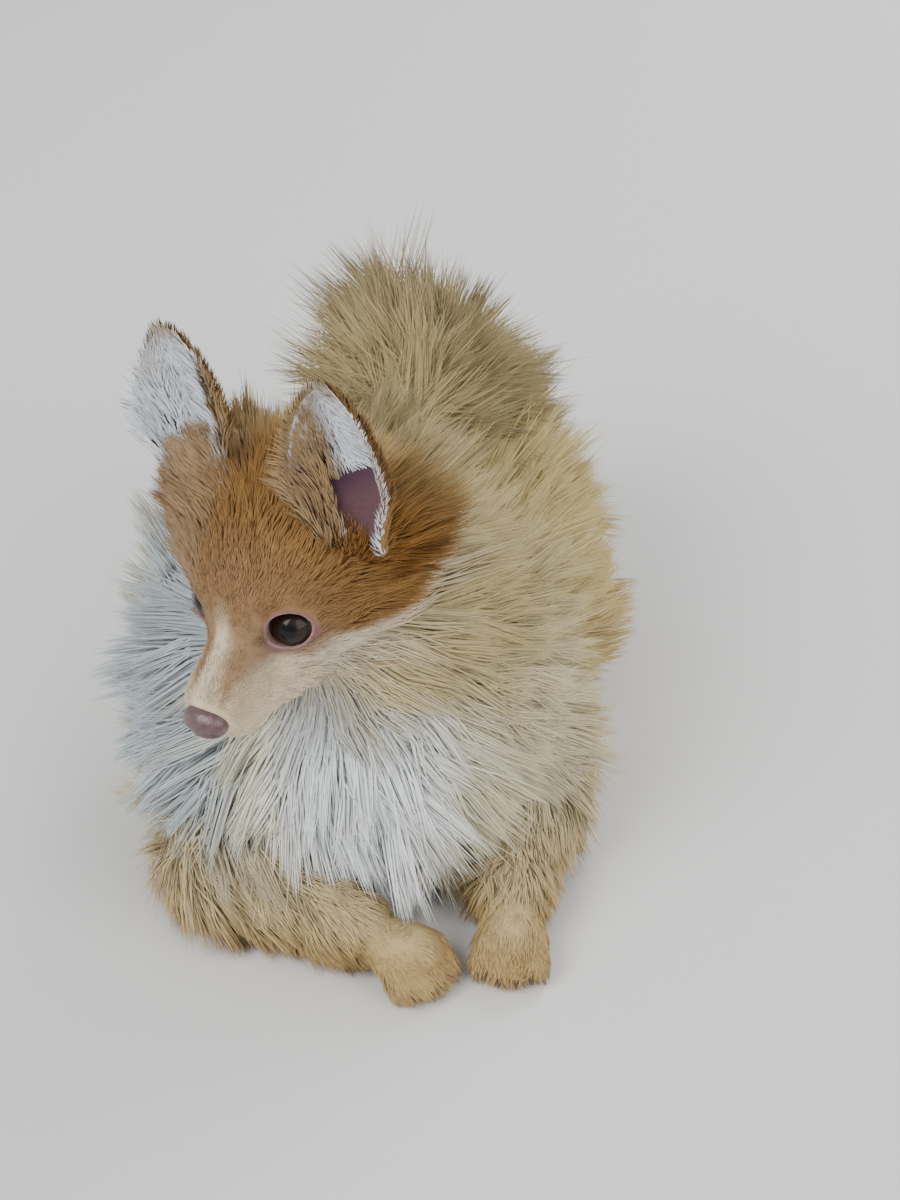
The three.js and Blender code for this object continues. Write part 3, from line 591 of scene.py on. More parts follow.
def fur_finish(name, rough, sheen, grain, bump):
    """Hair or haired skin: its painted tone, broken up by a fine grain, with a soft sheen."""
    made, nodes, shader = new_finish(name, rough)
    give(shader, "Sheen Weight", sheen)
    give(shader, "Sheen Roughness", 0.5)
    give(shader, "Specular IOR Level", 0.18)
    tone = nodes.new("ShaderNodeAttribute")
    tone.attribute_name = "coat_tone"
    where = nodes.new("ShaderNodeTexCoord")
    fine = nodes.new("ShaderNodeTexNoise")
    give(fine, "Scale", grain)
    give(fine, "Detail", 4)
    wire(where, "Object", fine, "Vector")
    shade = nodes.new("ShaderNodeMapRange")
    give(shade, "To Min", 0.78)
    give(shade, "To Max", 1.18)
    wire(fine, "Fac", shade, "Value")
    mixed = nodes.new("ShaderNodeVectorMath")
    mixed.operation = "MULTIPLY"
    wire(tone, "Color", mixed, 0)
    wire(shade, "Result", mixed, 1)
    wire(mixed, "Vector", shader, "Base Color")
    relief = nodes.new("ShaderNodeBump")
    give(relief, "Strength", bump)
    give(relief, "Distance", 0.0006)
    wire(fine, "Fac", relief, "Height")
    wire(relief, "Normal", shader, "Normal")
    return made


def refine(mesh, chosen_of):
    """Halves the faces that are chosen by their centres in the head, and settles the skin again."""
    shape = bmesh.new()
    shape.from_mesh(mesh)
    centres = headward(np.array([face.calc_center_median() for face in shape.faces]) / MM)
    shape.faces.ensure_lookup_table()
    edges = {edge for i in np.flatnonzero(chosen_of(centres)) for edge in shape.faces[i].edges}
    bmesh.ops.subdivide_edges(shape, edges=list(edges), cuts=1, use_grid_fill=True)
    shape.to_mesh(mesh)
    shape.free()
    set_points(mesh, settle(skin_depth, points_of(mesh)))


def from_eyes(h):
    return np.minimum(*[norm(h - eye_place(sign)[0], axis=1) for sign in (-1, 1)])


def on_face(h):
    aside, back, rise = h.T
    muzzle = (back < -22) & (np.abs(aside) < 22) & (rise < 8) & (rise > -34)
    return (from_eyes(h) < 16) | muzzle


skin_points, skin_faces = surface_of(skin_depth, SKIN_LOW, SKIN_HIGH, SKIN_CELL)
skin_mesh = bpy.data.meshes.new("skin")
skin_mesh.from_pydata(skin_points * MM, [], skin_faces.tolist())
set_points(skin_mesh, settle(skin_depth, points_of(skin_mesh)))
refine(skin_mesh, on_face)
refine(skin_mesh, lambda h: from_eyes(h) < 12)
skin = piece("skin", skin_mesh, fur_finish("skin_hide", 0.7, 0.08, 1400, 0.35))
paint(skin_mesh, bare_skin(points_of(skin_mesh)))
unwrap(skin)
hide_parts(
    "head", "neck", "torso", "tail",
    "foreleg_left", "foreleg_right", "hindleg_left", "hindleg_right",
)
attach(skin, "root")

# Eyes: glossy dark brown balls, set under the lids, with a paler ring of iris round a black pupil
# and a thin wet film over them.
IRIS_BROWN, PUPIL_BLACK, EYE_WHITE = (0.028, 0.014, 0.008), (0.004, 0.004, 0.005), (0.22, 0.16, 0.14)
PUPIL_EDGE, IRIS_EDGE, CORNEA_EDGE, CORNEA_RISE = (17, 23), (52, 60), 50, 0.35
eye_glass, nodes, shader = new_finish("wet_brown_eye", 0.3)
give(shader, "Specular IOR Level", 0.1)
give(shader, "Coat Weight", 0.3)
give(shader, "Coat Roughness", 0.02)
iris_tone = nodes.new("ShaderNodeAttribute")
iris_tone.attribute_name = "coat_tone"
where = nodes.new("ShaderNodeTexCoord")
fleck = nodes.new("ShaderNodeTexNoise")
give(fleck, "Scale", 2600)
wire(where, "Object", fleck, "Vector")
flecked = nodes.new("ShaderNodeMixRGB")
flecked.blend_type = "MULTIPLY"
give(flecked, "Fac", 0.5)
wire(iris_tone, "Color", flecked, "Color1")
wire(fleck, "Color", flecked, "Color2")
wire(flecked, "Color", shader, "Base Color")
for side, sign in (("right", -1), ("left", 1)):
    centre, gaze = eye_place(sign)
    ball = bmesh.new()
    bmesh.ops.create_uvsphere(ball, u_segments=64, v_segments=48, radius=1.0)
    eye_mesh = bpy.data.meshes.new("eye_" + side + "_ball")
    ball.to_mesh(eye_mesh)
    ball.free()
    way = unit(read(eye_mesh.vertices, "co", 3))
    from_gaze = np.degrees(np.arccos(np.clip(way @ gaze, -1, 1)))
    bulge = CORNEA_RISE * (1 - smooth(from_gaze, 0, CORNEA_EDGE))
    eye_in_head = centre + way * (EYE_RADIUS - 0.05 + bulge)[:, None]
    set_points(eye_mesh, eye_in_head @ HEAD_TURN.T + HEAD_AT)
    iris = np.tile(np.array(IRIS_BROWN), (len(way), 1))
    lay(iris, PUPIL_BLACK, 1 - smooth(from_gaze, *PUPIL_EDGE))
    lay(iris, EYE_WHITE, smooth(from_gaze, *IRIS_EDGE))
    paint(eye_mesh, iris)
    eye = piece("eye_" + side + "_ball", eye_mesh, eye_glass)
    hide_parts("eye_" + side)
    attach(eye, "root")

# Nose pad: moist pinkish-brown leather on the end of the muzzle, finely cobbled,
# with two comma nostrils and a short groove under them.
NOSE_AT = np.array([0.0, -25 - MUZZLE_LENGTH, -10.5])
NOSE_DARK, NOSE_PINK = (0.06, 0.03, 0.029, 1), (0.175, 0.10, 0.097, 1)
NOSE_CELL = 0.42
nose_ball = melt(2.5, oval(NOSE_AT, (8.8, 5.8, 6.2)), oval(NOSE_AT + (0, 1, -4), (4, 4, 4)))


def nose_flesh(h):
    found = nose_ball(h)
    for sign in (-1, 1):
        nostril = limb(NOSE_AT + (sign * 3.4, -6.2, -0.2), NOSE_AT + (sign * 7.2, -3.6, -1.6), 1.5, 0.8)
        found = soft_cut(found, nostril(h), 1.0)
    cleft = np.maximum(np.abs(h[:, 0]) - 0.25, np.maximum(h[:, 2] + 12.7, -found - 0.8))
    return soft_cut(found, cleft, 0.7)


nose_points, nose_faces = surface_of(nose_flesh, NOSE_AT - (11, 9, 12), NOSE_AT + (11, 9, 9), NOSE_CELL)
nose_mesh = bpy.data.meshes.new("nose_pad")
nose_mesh.from_pydata(nose_points * MM, [], nose_faces.tolist())
set_points(nose_mesh, settle(nose_flesh, nose_points) @ HEAD_TURN.T + HEAD_AT)
nose_leather, nodes, shader = new_finish("nose_leather", 0.36)
give(shader, "Coat Weight", 0.35)
give(shader, "Coat Roughness", 0.2)
where = nodes.new("ShaderNodeTexCoord")
cobble = nodes.new("ShaderNodeTexVoronoi")
give(cobble, "Scale", 1500)
blotch = nodes.new("ShaderNodeTexNoise")
give(blotch, "Scale", 260)
wire(where, "Object", cobble, "Vector")
wire(where, "Object", blotch, "Vector")
ramp = nodes.new("ShaderNodeValToRGB")
ramp.color_ramp.elements[0].position = 0.3
ramp.color_ramp.elements[0].color = NOSE_DARK
ramp.color_ramp.elements[1].position = 0.75
ramp.color_ramp.elements[1].color = NOSE_PINK
wire(blotch, "Fac", ramp, "Fac")
wire(ramp, "Color", shader, "Base Color")
relief = nodes.new("ShaderNodeBump")
give(relief, "Strength", 0.5)
give(relief, "Distance", 0.0003)
wire(cobble, "Distance", relief, "Height")
wire(relief, "Normal", shader, "Normal")
nose_pad = piece("nose_pad", nose_mesh, nose_leather)
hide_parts("nose")
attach(nose_pad, "root")

# Ears: small upright cups of thin gristle and skin, rounded at the tip, that open forwards,
# with painted shade darkening their hollow low inside. Each is made of rings of points from its foot to
# its tip, and its sizes stand under -1 for the right ear and 1 for the left one.
EAR_WIDTHS = {-1: 33, 1: 39}
EAR_ROOTS = {-1: (-29, 14, 35), 1: (35, 10, 29)}
EAR_RISES = {-1: (-10, 20, 41), 1: (-9, 20, 43)}
EAR_OPENS = {-1: (0.2, -0.95, 0.3), 1: (0.08, -0.95, 0.3)}
EAR_STEPS, EAR_ARC = 30, 22
EAR_FOOT, EAR_SPAN = -0.22, 1.205
EAR_PINK, EAR_HOLLOW_SHADE, EAR_MAUVE = (0.66, 0.60, 0.60), (0.075, 0.03, 0.055), (0.12, 0.06, 0.068)


def ear_axes(sign):
    """An ear's ways across it, out of its opening and up it, in the head."""
    up = unit(np.array(EAR_RISES[sign]))
    opens = np.array(EAR_OPENS[sign])
    opens = unit(opens - up * (opens @ up))
    return np.cross(up, opens), opens, up


def foot_width(t):
    """How much of its width an ear keeps towards its foot."""
    return 1 - 0.4 * smooth(-t, -0.3, 0.22)


def ear_rings(sign):
    """Points of an ear in rings from its foot to its tip, with the outer side first in each."""
    across, opens, up = ear_axes(sign)
    rings = []
    for i in range(EAR_STEPS + 1):
        t = EAR_FOOT + EAR_SPAN * i / EAR_STEPS
        above = max(t, 0)
        round_off = max(1 - above**2.6, 0.015) ** 0.6
        width = EAR_WIDTHS[sign] / 2 * round_off * float(foot_width(t))
        cup = width * (0.95 - 0.45 * min(above, 1))
        wall = 2.6 - 1.5 * min(above, 1)
        middle = np.array(EAR_ROOTS[sign], float) + np.array(EAR_RISES[sign], float) * t

        def rim(angle, shrink):
            side = np.cos(angle)[:, None] * across * (width - shrink * 0.75)
            deep = (-np.sin(angle) * (cup - shrink) + cup * 0.35)[:, None] * opens
            return middle + side + deep

        angle = np.linspace(0, np.pi, EAR_ARC + 1)
        rings.append(np.concatenate([rim(angle, 0), rim(angle[::-1], min(wall, width * 0.7))]))
    return np.array(rings)


def ear_tone(h, inner):
    """Russet outside with a darker tip, pale inside, darkened low inside by painted shade of the hollow,
    with mauve at the root.
    """
    rise = smooth(h[:, 2], 24, 66)
    outside = np.array(RUSSET) * (1 - rise[:, None] * 0.35)
    inside = np.tile(np.array(EAR_PINK), (len(h), 1))
    # Painted shade: the lower inside of the cup is darkened as the shade in its hollow.
    lay(inside, EAR_HOLLOW_SHADE, 1 - smooth(h[:, 2], 42, 54))
    lay(inside, EAR_MAUVE, 1 - smooth(h[:, 2] - 0.5 * np.abs(h[:, 0]), 12, 24))
    return np.where(inner[:, None], inside, outside)


ear_points, ear_faces, ear_inner = [], [], []
for sign in (-1, 1):
    rings = ear_rings(sign)
    start, ring_size = len(ear_points), rings.shape[1]
    ear_points.extend(rings.reshape(-1, 3))
    ear_inner.extend(np.tile(np.arange(ring_size) > EAR_ARC, len(rings)))
    for i in range(len(rings) - 1):
        for j in range(ring_size):
            a, b = start + i * ring_size + j, start + i * ring_size + (j + 1) % ring_size
            ear_faces.append((a, b, b + ring_size, a + ring_size))
    ear_faces.append(tuple(start + j for j in range(ring_size))[::-1])
    ear_faces.append(tuple(start + (len(rings) - 1) * ring_size + j for j in range(ring_size)))
ear_points, ear_inner = np.array(ear_points), np.array(ear_inner)
ear_mesh = bpy.data.meshes.new("ear_shells")
ear_mesh.from_pydata((ear_points @ HEAD_TURN.T + HEAD_AT) * MM, [], ear_faces)
shape = bmesh.new()
shape.from_mesh(ear_mesh)
bmesh.ops.recalc_face_normals(shape, faces=shape.faces)
shape.to_mesh(ear_mesh)
shape.free()
paint(ear_mesh, ear_tone(ear_points, ear_inner))
ears = piece("ear_shells", ear_mesh, fur_finish("ear_hide", 0.65, 0.1, 900, 0.3))
unwrap(ears)
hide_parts("ear_left", "ear_right")
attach(ears, "root")

# Coat: about 150,000 fine tapered tufts of the skin's colour, rooted in it and laid over it, with painted
# shade darkening them towards their roots.
# Neighbouring tufts draw together at their tips into loose locks, as a puppy's soft coat does.
# Each tuft is a closed three-sided spike with a bend half way.
FACE_CENTRE = from_head(0, -34, -8)
TUFT_RINGS, ROOT_SUNK, LEAST_RISE, PATCH_SIZE = 2, 0.6, 0.8, 0.003
stops = np.linspace(0, 1, TUFT_RINGS + 1)
taper = np.interp(stops, [0, 0.3, 0.6, 1], [0.75, 1, 0.85, 0])
rise_of_corner = np.append(np.repeat(stops[:-1], 3), 1.0)
draw = np.random.default_rng(20240)


def seats_on(made, weight_at, count):
    """Even random seats on a piece: point, outward direction and place on its unwrap."""
    mesh = made.data
    mesh.calc_loop_triangles()
    corner = read(mesh.loop_triangles, "vertices", 3, int)
    loop = read(mesh.loop_triangles, "loops", 3, int)
    at, out = points_of(mesh), read(mesh.vertices, "normal", 3)
    chart = read(mesh.uv_layers["OFBake"].data, "uv", 2)
    a, b, c = at[corner[:, 0]], at[corner[:, 1]], at[corner[:, 2]]
    area = norm(np.cross(b - a, c - a), axis=1) / 2
    total = np.cumsum(area * weight_at((a + b + c) / 3))
    pick = np.searchsorted(total, (np.arange(count) + draw.random(count)) / count * total[-1])
    pick = np.minimum(pick, len(corner) - 1)
    r, s = np.sqrt(draw.random(count)), draw.random(count)
    share = np.stack([1 - r, r * (1 - s), r * s], -1)[:, :, None]
    seat = (at[corner[pick]] * share).sum(1)
    facing = unit((out[corner[pick]] * share).sum(1))
    return seat, facing, (chart[loop[pick]] * share).sum(1)


def nearest_of(seat, leaders):
    """For each seat, the number of the leading tuft that it is nearest to."""
    near = KDTree(len(leaders))
    for i, leader in enumerate(leaders):
        near.insert(seat[leader], i)
    near.balance()
    return np.array([near.find(point)[1] for point in seat])


def tuft_paths(seat, out, hair, clump, per_lock, frizz, wander, curl):
    """The points of each tuft from root to tip, and a small change of shade for each."""
    lie, length, lift, droop = hair
    count = len(seat)
    order = draw.permutation(count)
    few = order[: max(1, count // (per_lock * 5))]
    many = order[: max(1, count // per_lock)]
    wisp, lock = nearest_of(seat, few), nearest_of(seat, many)
    lie = unit(lie - out * np.minimum((lie * out).sum(1), 0)[:, None])
    lie = unit(lie + draw.normal(0, frizz, (count, 3)) + draw.normal(0, wander, (len(few), 3))[wisp])
    sway = draw.normal(0, curl, (len(few), 3))[wisp] + draw.normal(0, curl * 0.6, (len(many), 3))[lock]
    length = length * draw.uniform(0.68, 1.1, count)
    path = [seat - out * ROOT_SUNK]
    for k in range(1, TUFT_RINGS + 1):
        t = stops[k] - 0.5 / TUFT_RINGS
        way = out * (lift * (1 - 0.75 * t))[:, None] + lie * (0.55 + 0.6 * t)
        way[:, 2] -= droop * t
        path.append(path[-1] + unit(way) * (length / TUFT_RINGS)[:, None])
    path = np.array(path) + sway[None] * (length * stops[:, None] ** 2)[:, :, None]
    tight = (draw.random(count) > 0.1)[None, :, None]
    for chief, share in ((few[wisp], 0.55), (many[lock], 0.8)):
        pull = (clump * share * stops**1.4)[:, None, None] * tight
        path = path * (1 - pull) + path[:, chief] * pull
    path[:, :, 2] = np.maximum(path[:, :, 2], LEAST_RISE)
    own = draw.normal(1, 0.05, (count, 1, 1)) * draw.normal(1, 0.06, (len(few), 1, 1))[wisp]
    return path, own


def tuft_corners(path, out, width):
    """The corners of the tufts, and soft normals that lean on the skin's outward direction."""
    along = unit(np.gradient(path, axis=0))
    across = unit(np.cross(along, out[None]))
    face = np.cross(across, along)
    points, normals = [], []
    for k in range(TUFT_RINGS):
        w = (width * taper[k] / 2)[:, None]
        points.append(path[k] + across[k] * w - face[k] * w * 0.35)
        points.append(path[k] + face[k] * w * 0.6)
        points.append(path[k] - across[k] * w - face[k] * w * 0.35)
        for sideways, outward in ((0.45, -0.1), (0, 0.5), (-0.45, -0.1)):
            normals.append(unit(out * 0.8 + across[k] * sideways + face[k] * outward))
    points.append(path[TUFT_RINGS])
    normals.append(unit(out * 0.6 + face[TUFT_RINGS] * 0.4 + along[TUFT_RINGS] * 0.2))
    return np.stack(points, 1), np.stack(normals, 1)


def tuft_faces():
    """One tuft's faces: its root, its sides and the three that meet in its tip."""
    faces = [(0, 1, 2)]
    for k in range(TUFT_RINGS - 1):
        for side in range(3):
            a, b = 3 * k + side, 3 * k + (side + 1) % 3
            faces.append((b, a, a + 3, b + 3))
    last = 3 * (TUFT_RINGS - 1)
    return faces + [(last + (side + 1) % 3, last + side, 3 * TUFT_RINGS) for side in range(3)]


def tufts(
    name, seat, out, chart, hair, width, tone, tips, material,
    clump=0.5, per_lock=12, frizz=0.1, wander=0.1, curl=0.14,
):
    """One mesh of closed tufts, painted darker towards the root as shade, each a small patch at its
    root's place on the unwrap.
    """
    path, own = tuft_paths(seat, out, hair, clump, per_lock, frizz, wander, curl)
    points, normals = tuft_corners(path, out, width)
    faces = tuft_faces()
    count, each = points.shape[:2]
    corners = np.concatenate(faces)
    starts = np.cumsum([0] + [len(face) for face in faces])[:-1]
    step = np.arange(count)[:, None]
    mesh = bpy.data.meshes.new(name)
    mesh.vertices.add(count * each)
    mesh.loops.add(count * len(corners))
    mesh.polygons.add(count * len(faces))
    mesh.vertices.foreach_set("co", (points.reshape(-1, 3) * MM).astype(np.float32).ravel())
    mesh.loops.foreach_set("vertex_index", (corners[None] + step * each).astype(np.int32).ravel())
    mesh.polygons.foreach_set("loop_start", (starts[None] + step * len(corners)).astype(np.int32).ravel())
    mesh.update(calc_edges=True)
    # Painted shade: each tuft runs from darker at its root to lighter at its tip, times its own random
    # change of tone.
    shade = (0.88 + 0.17 * rise_of_corner)[None, :, None] * own
    blend = rise_of_corner[None, :, None] ** 1.5
    paint(mesh, ((tone[:, None] * (1 - blend) + tips[:, None] * blend) * shade).reshape(-1, 3))
    sideways = np.append(np.tile([-0.5, 0, 0.5], TUFT_RINGS), 0)
    spread = np.stack([rise_of_corner - 0.5, sideways], -1) * PATCH_SIZE
    sheet = mesh.uv_layers.new(name="OFBake")
    sheet.data.foreach_set("uv", (chart[:, None] + spread[None])[:, corners].astype(np.float32).ravel())
    made = piece(name, mesh, material)
    mesh.normals_split_custom_set_from_vertices(normals.reshape(-1, 3))
    return made


def run_into(hair, share, other):
    """One region's hair run into another's, as far as the share goes at each point."""
    lie = unit(hair[0]) * (1 - share[:, None]) + unit(other[0]) * share[:, None]
    return lie, *(mine * (1 - share) + theirs * share for mine, theirs in zip(hair[1:], other[1:]))


def low_left(p):
    return smooth(p[:, 0], 20, 44) * smooth(-p[:, 2], -94, -60)


def back_hair(p):
    """Hair of the back and sides, laid backwards and longest along the ridge."""
    x, y, z = p.T
    flank = smooth(np.abs(x), 16, 48)
    ridge = (1 - flank) * smooth(z, 66, 84)
    lie = np.stack([x * 0.014, np.full(len(p), 0.75), 0.12 - 0.34 * flank], -1)
    side = smooth(np.abs(x), 26, 44) * smooth(-z, -90, -60)
    length = 40 + 14 * ridge - 5 * side - 6 * smooth(y, 62, 90) - 8 * low_left(p)
    return lie, length, 1.15 + 0.7 * ridge, np.full(len(p), 0.06)


def ruff_hair(p):
    """Hair of the ruff, spread outwards round the face, shorter on the left and low down."""
    x, y, z = p.T
    high_right = smooth(-x, 44, 60) * smooth(z, 70, 96)
    left = smooth(x, 20, 44)
    raised = 0.5 * high_right - 0.25 * smooth(-y, 30, 90)
    outward = unit(p - FACE_CENTRE) + np.stack([0 * x, 0 * x + 0.12, raised], -1)
    nape_top = smooth(z, 92, 116) * smooth(y, -62, -40) * smooth(-x, -6, 16)
    length = 41 - 6 * smooth(-z, -60, -20) + 3 * high_right - 9 * left - 7 * low_left(p)
    length = length + 12 * nape_top - 4 * smooth(-x, 56, 74)
    lift = 0.45 + 0.5 * smooth(-y, 50, 90) + 0.4 * high_right + 1.2 * nape_top
    return outward, length, lift, 0.18 * (1 - nape_top)


def foreleg_hair(p, elbow, wrist, paw):
    """Hair of one foreleg, laid down the leg, long at the elbow and shortest on the toes."""
    t = np.clip((p - elbow) @ (wrist - elbow) / ((wrist - elbow) @ (wrist - elbow)), 0, 1.5)
    bend = smooth(t, 0.8, 1.1)[:, None]
    down_leg = unit(wrist - elbow) * (1 - bend) + unit(paw - wrist) * bend + np.array([0, -0.1, -0.3])
    length = 23 - 9 * smooth(t, 0.1, 0.9) - 8.6 * smooth(t, 0.95, 1.4)
    return down_leg, length, 0.75 - 0.3 * smooth(t, 0.8, 1.3), 0.3


def plume_hair(out):
    """Hair of the tail, fanned out all round it and longest on its right."""
    ox, oy, oz = out.T
    fan = np.stack([ox, 0.4 * oy, oz], -1) + (-0.06, -0.1, 0.42)
    right, left = 0.25 * smooth(-ox, 0, 0.8), 0.12 * smooth(ox, 0.5, 1)
    fuller = 1 - 0.16 * smooth(oy, 0.3, 0.9) + right + left - 0.75 * np.maximum(ox * oz, 0)
    return fan, 45 * fuller, 0.2, 0.05


def head_hair(h):
    """Hair of the head, swept back from the nose, shortest on the muzzle, long on the cheeks."""
    aside, back, rise = h.T
    wide = np.abs(aside - 1)
    cheek = smooth(wide, 12, 28) * smooth(back, -18, 2) * (1 - 0.6 * smooth(rise, -4, 14))
    temple = smooth(wide, 14, 27) * smooth(back, -16, 4) * smooth(rise, -16, -2)
    right_temple = smooth(-aside, 12, 25) * smooth(back, -26, -8) * smooth(rise, -30, -14)
    chin = smooth(-rise, 20, 32) * smooth(back, -48, -26)
    length = 3 + 2.4 * smooth(back, -36, -18) + 5 * smooth(back, -16, 6) + 15 * smooth(back, 6, 24)
    length = length + 14 * cheek + 6 * chin + 8 * right_temple
    outward = (0.5 * temple + 0.3 * right_temple) * np.sign(aside)
    lie = unit(h - (0, -60, -10)) + np.stack([outward, 0 * back, 0.2 * temple], -1)
    lift = 0.35 + 0.35 * smooth(back, -4, 24) + 0.75 * np.maximum(temple, right_temple) + 0.3 * chin
    return lie @ HEAD_TURN.T, length, lift, 0.04


def ear_root_hair(h, sign):
    """Hair round the foot of an ear, stood up along it."""
    lie = (ear_axes(sign)[2] + (sign * 0.3, -0.2, 0)) @ HEAD_TURN.T
    length = 11 if sign < 0 else 6 + 8 * smooth(h[:, 0], 34, 44)
    return lie + 0 * h, length, 0.8, 0.0


def hair_at(p, out):
    """The hair at points of the skin: its lie, length, lift from the skin and droop."""
    h = headward(p)
    head, tail, fore, hind = shares(p)
    hair = run_into(back_hair(p), smooth(-joint_side(p), -16, 14), ruff_hair(p))
    thigh_lie = np.tile((0.0, 0.8, -0.4), (len(p), 1))
    hair = run_into(hair, hind, (thigh_lie, 5 + 24 * smooth(p[:, 2], 12, 34), 0.7, 0.1))
    for leg in FORELEGS.values():
        elbow, wrist, paw = np.array(leg, float)
        near = fore * (1 - smooth(limb(elbow, paw, 20, 16)(p), 0, 14))
        hair = run_into(hair, near, foreleg_hair(p, elbow, wrist, paw))
    hair = run_into(hair, tail, plume_hair(out))
    hair = run_into(hair, head, head_hair(h))
    for sign in (-1, 1):
        near = head * (1 - smooth(norm(h - EAR_ROOTS[sign], axis=1), 12, 25))
        hair = run_into(hair, near, ear_root_hair(h, sign))
    return hair


def bare_places(p):
    """Zero where no tuft grows: the lids, the lips, the nose and the floor side."""
    h = headward(p)
    keep = (p[:, 2] > 2.2).astype(float)
    for sign in (-1, 1):
        edge, rise = lid_edge(h, sign)
        keep *= 1 - (edge < 1.2 + 1.4 * corner_reach(h, sign)) * (rise > -3)
    keep *= 1 - (np.abs(h[:, 2] - mouth_level(h)) < 1.1) * (h[:, 1] < -34) * (h[:, 1] > -60)
    keep *= norm((h - NOSE_AT) / (1.35, 1, 1.1), axis=1) > 6.9
    return keep


coat_hair = fur_finish("coat_hair", 0.65, 0.0, 420, 0.0)


def grown_by(p):
    """For each piece of the coat, whether a point of the skin belongs to it."""
    head, tail, fore, hind = shares(p)
    x, y, z = p.T
    of_head = head > 0.5
    of_face = of_head & (headward(p)[:, 1] < -12)
    trunk_only = (head <= 0.5) & (tail <= 0.5) & (fore <= 0.5) & (hind <= 0.5) & (z > 6)
    before = trunk_only & (joint_side(p) < 0)
    behind = trunk_only & (joint_side(p) >= 0)
    return {
        "coat_face": of_face,
        "coat_crown": of_head & ~of_face,
        "coat_forelegs": (fore > 0.5) & (head < 0.5),
        "coat_thighs": (hind > 0.5) & (fore <= 0.5) & (np.abs(x) > 30),
        "coat_tail": tail > 0.5,
        "coat_bib": before & (y < -62),
        "coat_ruff_left": before & (y >= -62) & (x > -20),
        "coat_ruff_right": before & (y >= -62) & (x <= -20),
        "coat_back_left": behind & (x > 0),
        "coat_back_right": behind & (x <= 0),
    }


def coat_piece(name, count, width, slot, **habit):
    """One piece of the coat. On the back of the head its tips run out to gold."""
    seat, out, chart = seats_on(skin, lambda p: bare_places(p) * grown_by(p)[name], count)
    hair = hair_at(seat, out)
    tone = markings(seat)
    run_out = (shares(seat)[0] * smooth(headward(seat)[:, 1], 12, 32) * 0.6)[:, None]
    tips = tone * (1 - run_out) + np.array(GOLD) * run_out
    thick = width[0] + hair[1] * width[1]
    made = tufts(name, seat, out, chart, hair, thick, tone, tips, coat_hair, **habit)
    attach(made, "root")


SHORT_WIDTH, LONG_WIDTH = (0.3, 0.014), (0.42, 0.0095)
coat_piece("coat_face", 19000, SHORT_WIDTH, "crown", clump=0.25, per_lock=6, curl=0.05)
coat_piece("coat_crown", 17500, SHORT_WIDTH, "crown", clump=0.4, per_lock=8, curl=0.08)
coat_piece("coat_forelegs", 15500, SHORT_WIDTH, "legs", clump=0.45, per_lock=8)
coat_piece("coat_thighs", 6000, LONG_WIDTH, "legs", clump=0.6)
coat_piece("coat_tail", 14500, LONG_WIDTH, "coat", clump=0.7, frizz=0.16)
coat_piece("coat_bib", 16000, LONG_WIDTH, "ruff", clump=0.75)
coat_piece("coat_ruff_left", 14500, LONG_WIDTH, "ruff", clump=0.75)
coat_piece("coat_ruff_right", 13000, LONG_WIDTH, "ruff", clump=0.75)
coat_piece("coat_back_left", 14500, LONG_WIDTH, "coat", clump=0.7, curl=0.18)
coat_piece("coat_back_right", 11000, LONG_WIDTH, "coat", clump=0.75)

# Ear hair: short russet hair outside, laid towards the tip, and soft white hair inside,
# tan on the rims, that leaves the left ear's low hollow bare.
EAR_WHITE, EAR_TAN = (0.80, 0.84, 0.88), (0.36, 0.24, 0.12)
PALE_FROM = {-1: (-0.8, -0.55), 1: (-0.45, -0.1)}
seat, out, chart = seats_on(ears, lambda p: headward(p)[:, 2] > 15, 10500)
in_ear = headward(seat)
facing = headward(seat + out) - in_ear
lie, tone = np.zeros_like(seat), np.zeros_like(seat)
length, grows = np.zeros(len(seat)), np.ones(len(seat), bool)
for sign in (-1, 1):
    across, opens, up = ear_axes(sign)
    mine = np.sign(in_ear[:, 0]) == sign
    place = in_ear - EAR_ROOTS[sign]
    t = place @ up / norm(EAR_RISES[sign])
    aside = (place @ across) / (EAR_WIDTHS[sign] / 2)
    inner = mine & (facing @ opens > 0.12)
    rim = smooth(np.abs(aside), 0.45, 0.95)[:, None]
    outer_lie = up + across * (np.sign(aside)[:, None] * rim * 0.8)
    inner_lie = up * 0.8 + opens * 0.3 + across * (np.sign(aside)[:, None] * (rim * 0.9 - 0.25))
    lie[mine] = outer_lie[mine]
    lie[inner] = inner_lie[inner]
    tone[mine] = ear_tone(in_ear[mine], np.zeros(mine.sum(), bool))
    pale = smooth(aside * sign, *PALE_FROM[sign])[:, None]
    tan_tip = smooth(t, 0.78, 0.95) * 0.8
    tan_rim = 0.5 * (sign > 0) * smooth(aside, 0.7, 0.9)
    pale = pale * (1 - tan_tip - tan_rim)[:, None]
    tone[inner] = (np.array(EAR_WHITE) * pale + np.array(EAR_TAN) * (1 - pale))[inner]
    length[mine] = 5.5
    length[inner] = 7 + 5 * (1 - smooth(t[inner], 0.2, 0.8))
    length[inner] *= 1 - 0.55 * (sign > 0) * smooth(aside[inner], 0.3, 0.6)
    spread = aside / foot_width(t)
    grows &= ~(inner & (t < 0.27 + 0.14 * aside) & (spread > -0.55) & (spread < 0.84) & (sign > 0))
seat, out, chart, tone, length = seat[grows], out[grows], chart[grows], tone[grows], length[grows]
hair = (lie @ HEAD_TURN.T)[grows], length, np.full(len(seat), 0.3), np.zeros(len(seat))
ear_habit = {"clump": 0.3, "per_lock": 6, "frizz": 0.06, "wander": 0.05, "curl": 0.05}
hair_width = 0.32 + length * 0.02
ear_hair = tufts("coat_ears", seat, out, chart, hair, hair_width, tone, tone, coat_hair, **ear_habit)
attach(ear_hair, "root")

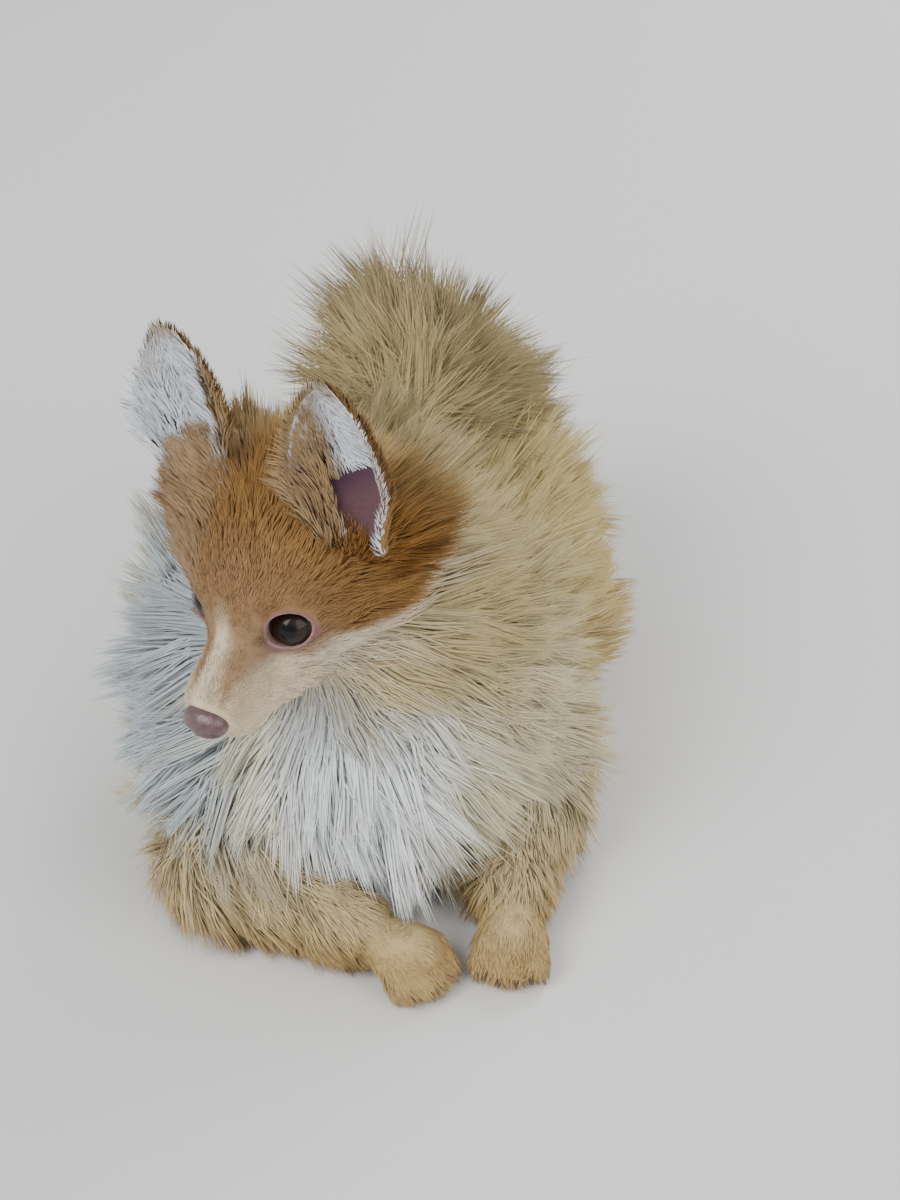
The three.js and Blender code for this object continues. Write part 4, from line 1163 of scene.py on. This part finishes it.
# Claws: small dark straight horn points at the ends of the toes, all of one pattern,
# set in the fur so that only their tips show.
CLAW_LENGTH, CLAW_RADIUS, CLAW_TIP_RADIUS = 4.6, 1.15, 0.1
CLAW_AHEAD, CLAW_RISE = 4.6, 5.4
HORN_DARK, HORN_PALE = (0.06, 0.04, 0.03, 1), (0.16, 0.11, 0.085, 1)
claw_horn, nodes, shader = new_finish("claw_horn", 0.35)
where = nodes.new("ShaderNodeTexCoord")
horn_grain = nodes.new("ShaderNodeTexNoise")
give(horn_grain, "Scale", 900)
ramp = nodes.new("ShaderNodeValToRGB")
ramp.color_ramp.elements[0].color = HORN_DARK
ramp.color_ramp.elements[1].color = HORN_PALE
wire(where, "Object", horn_grain, "Vector")
wire(horn_grain, "Fac", ramp, "Fac")
wire(ramp, "Color", shader, "Base Color")
claw_seats, claw_ways = [], []
for legs in (FORELEGS, HINDLEGS):
    for joint, wrist, paw in legs.values():
        for knuckle, pad, forward in toes_of(wrist, paw):
            claw_seats.append(pad * (1, 1, 0) + forward * CLAW_AHEAD + (0, 0, CLAW_RISE))
            claw_ways.append(forward)
claw_mesh = bpy.data.meshes.new("claws")
claw_mesh.from_pydata([tuple(seat * MM) for seat in claw_seats], [], [])
heading = claw_mesh.attributes.new("heading", "FLOAT_VECTOR", "POINT")
heading.data.foreach_set("vector", np.array(claw_ways, np.float32).ravel())
claws = placed("claws", claw_mesh)
tree = bpy.data.node_groups.new("claw_on_each_toe", "GeometryNodeTree")
for name, way, kind in (
    ("Toes", "INPUT", "NodeSocketGeometry"),
    ("Claw length", "INPUT", "NodeSocketFloat"),
    ("Claw radius", "INPUT", "NodeSocketFloat"),
    ("Claws", "OUTPUT", "NodeSocketGeometry"),
):
    tree.interface.new_socket(name, in_out=way, socket_type=kind)
given, result = tree.nodes.new("NodeGroupInput"), tree.nodes.new("NodeGroupOutput")
cone = tree.nodes.new("GeometryNodeMeshCone")
give(cone, "Vertices", 12)
give(cone, "Side Segments", 6)
give(cone, "Radius Top", CLAW_TIP_RADIUS * MM)
aim = tree.nodes.new("FunctionNodeAlignEulerToVector")
aim.axis = "Z"
named = tree.nodes.new("GeometryNodeInputNamedAttribute")
named.data_type = "FLOAT_VECTOR"
give(named, "Name", "heading")
on_toes = tree.nodes.new("GeometryNodeInstanceOnPoints")
real = tree.nodes.new("GeometryNodeRealizeInstances")
horn = tree.nodes.new("GeometryNodeSetMaterial")
give(horn, "Material", claw_horn)
for source, given_by, target, taken_by in (
    (given, "Claw length", cone, "Depth"),
    (given, "Claw radius", cone, "Radius Bottom"),
    (given, "Toes", on_toes, "Points"),
    (cone, "Mesh", on_toes, "Instance"),
    (named, "Attribute", aim, "Vector"),
    (aim, "Rotation", on_toes, "Rotation"),
    (on_toes, "Instances", real, "Geometry"),
    (real, "Geometry", horn, "Geometry"),
    (horn, "Geometry", result, "Claws"),
):
    wire(source, given_by, target, taken_by)
grow_claws = claws.modifiers.new("claws", "NODES")
grow_claws.node_group = tree
for name, size in (("Claw length", CLAW_LENGTH), ("Claw radius", CLAW_RADIUS)):
    grow_claws[tree.interface.items_tree[name].identifier] = size * MM
made_claws = bpy.data.meshes.new_from_object(claws.evaluated_get(bpy.context.evaluated_depsgraph_get()))
claws.modifiers.remove(grow_claws)
claws.data = made_claws
claws.data.name = "claws"
claws.data.polygons.foreach_set("use_smooth", np.ones(len(made_claws.polygons), bool))
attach(claws, "root")
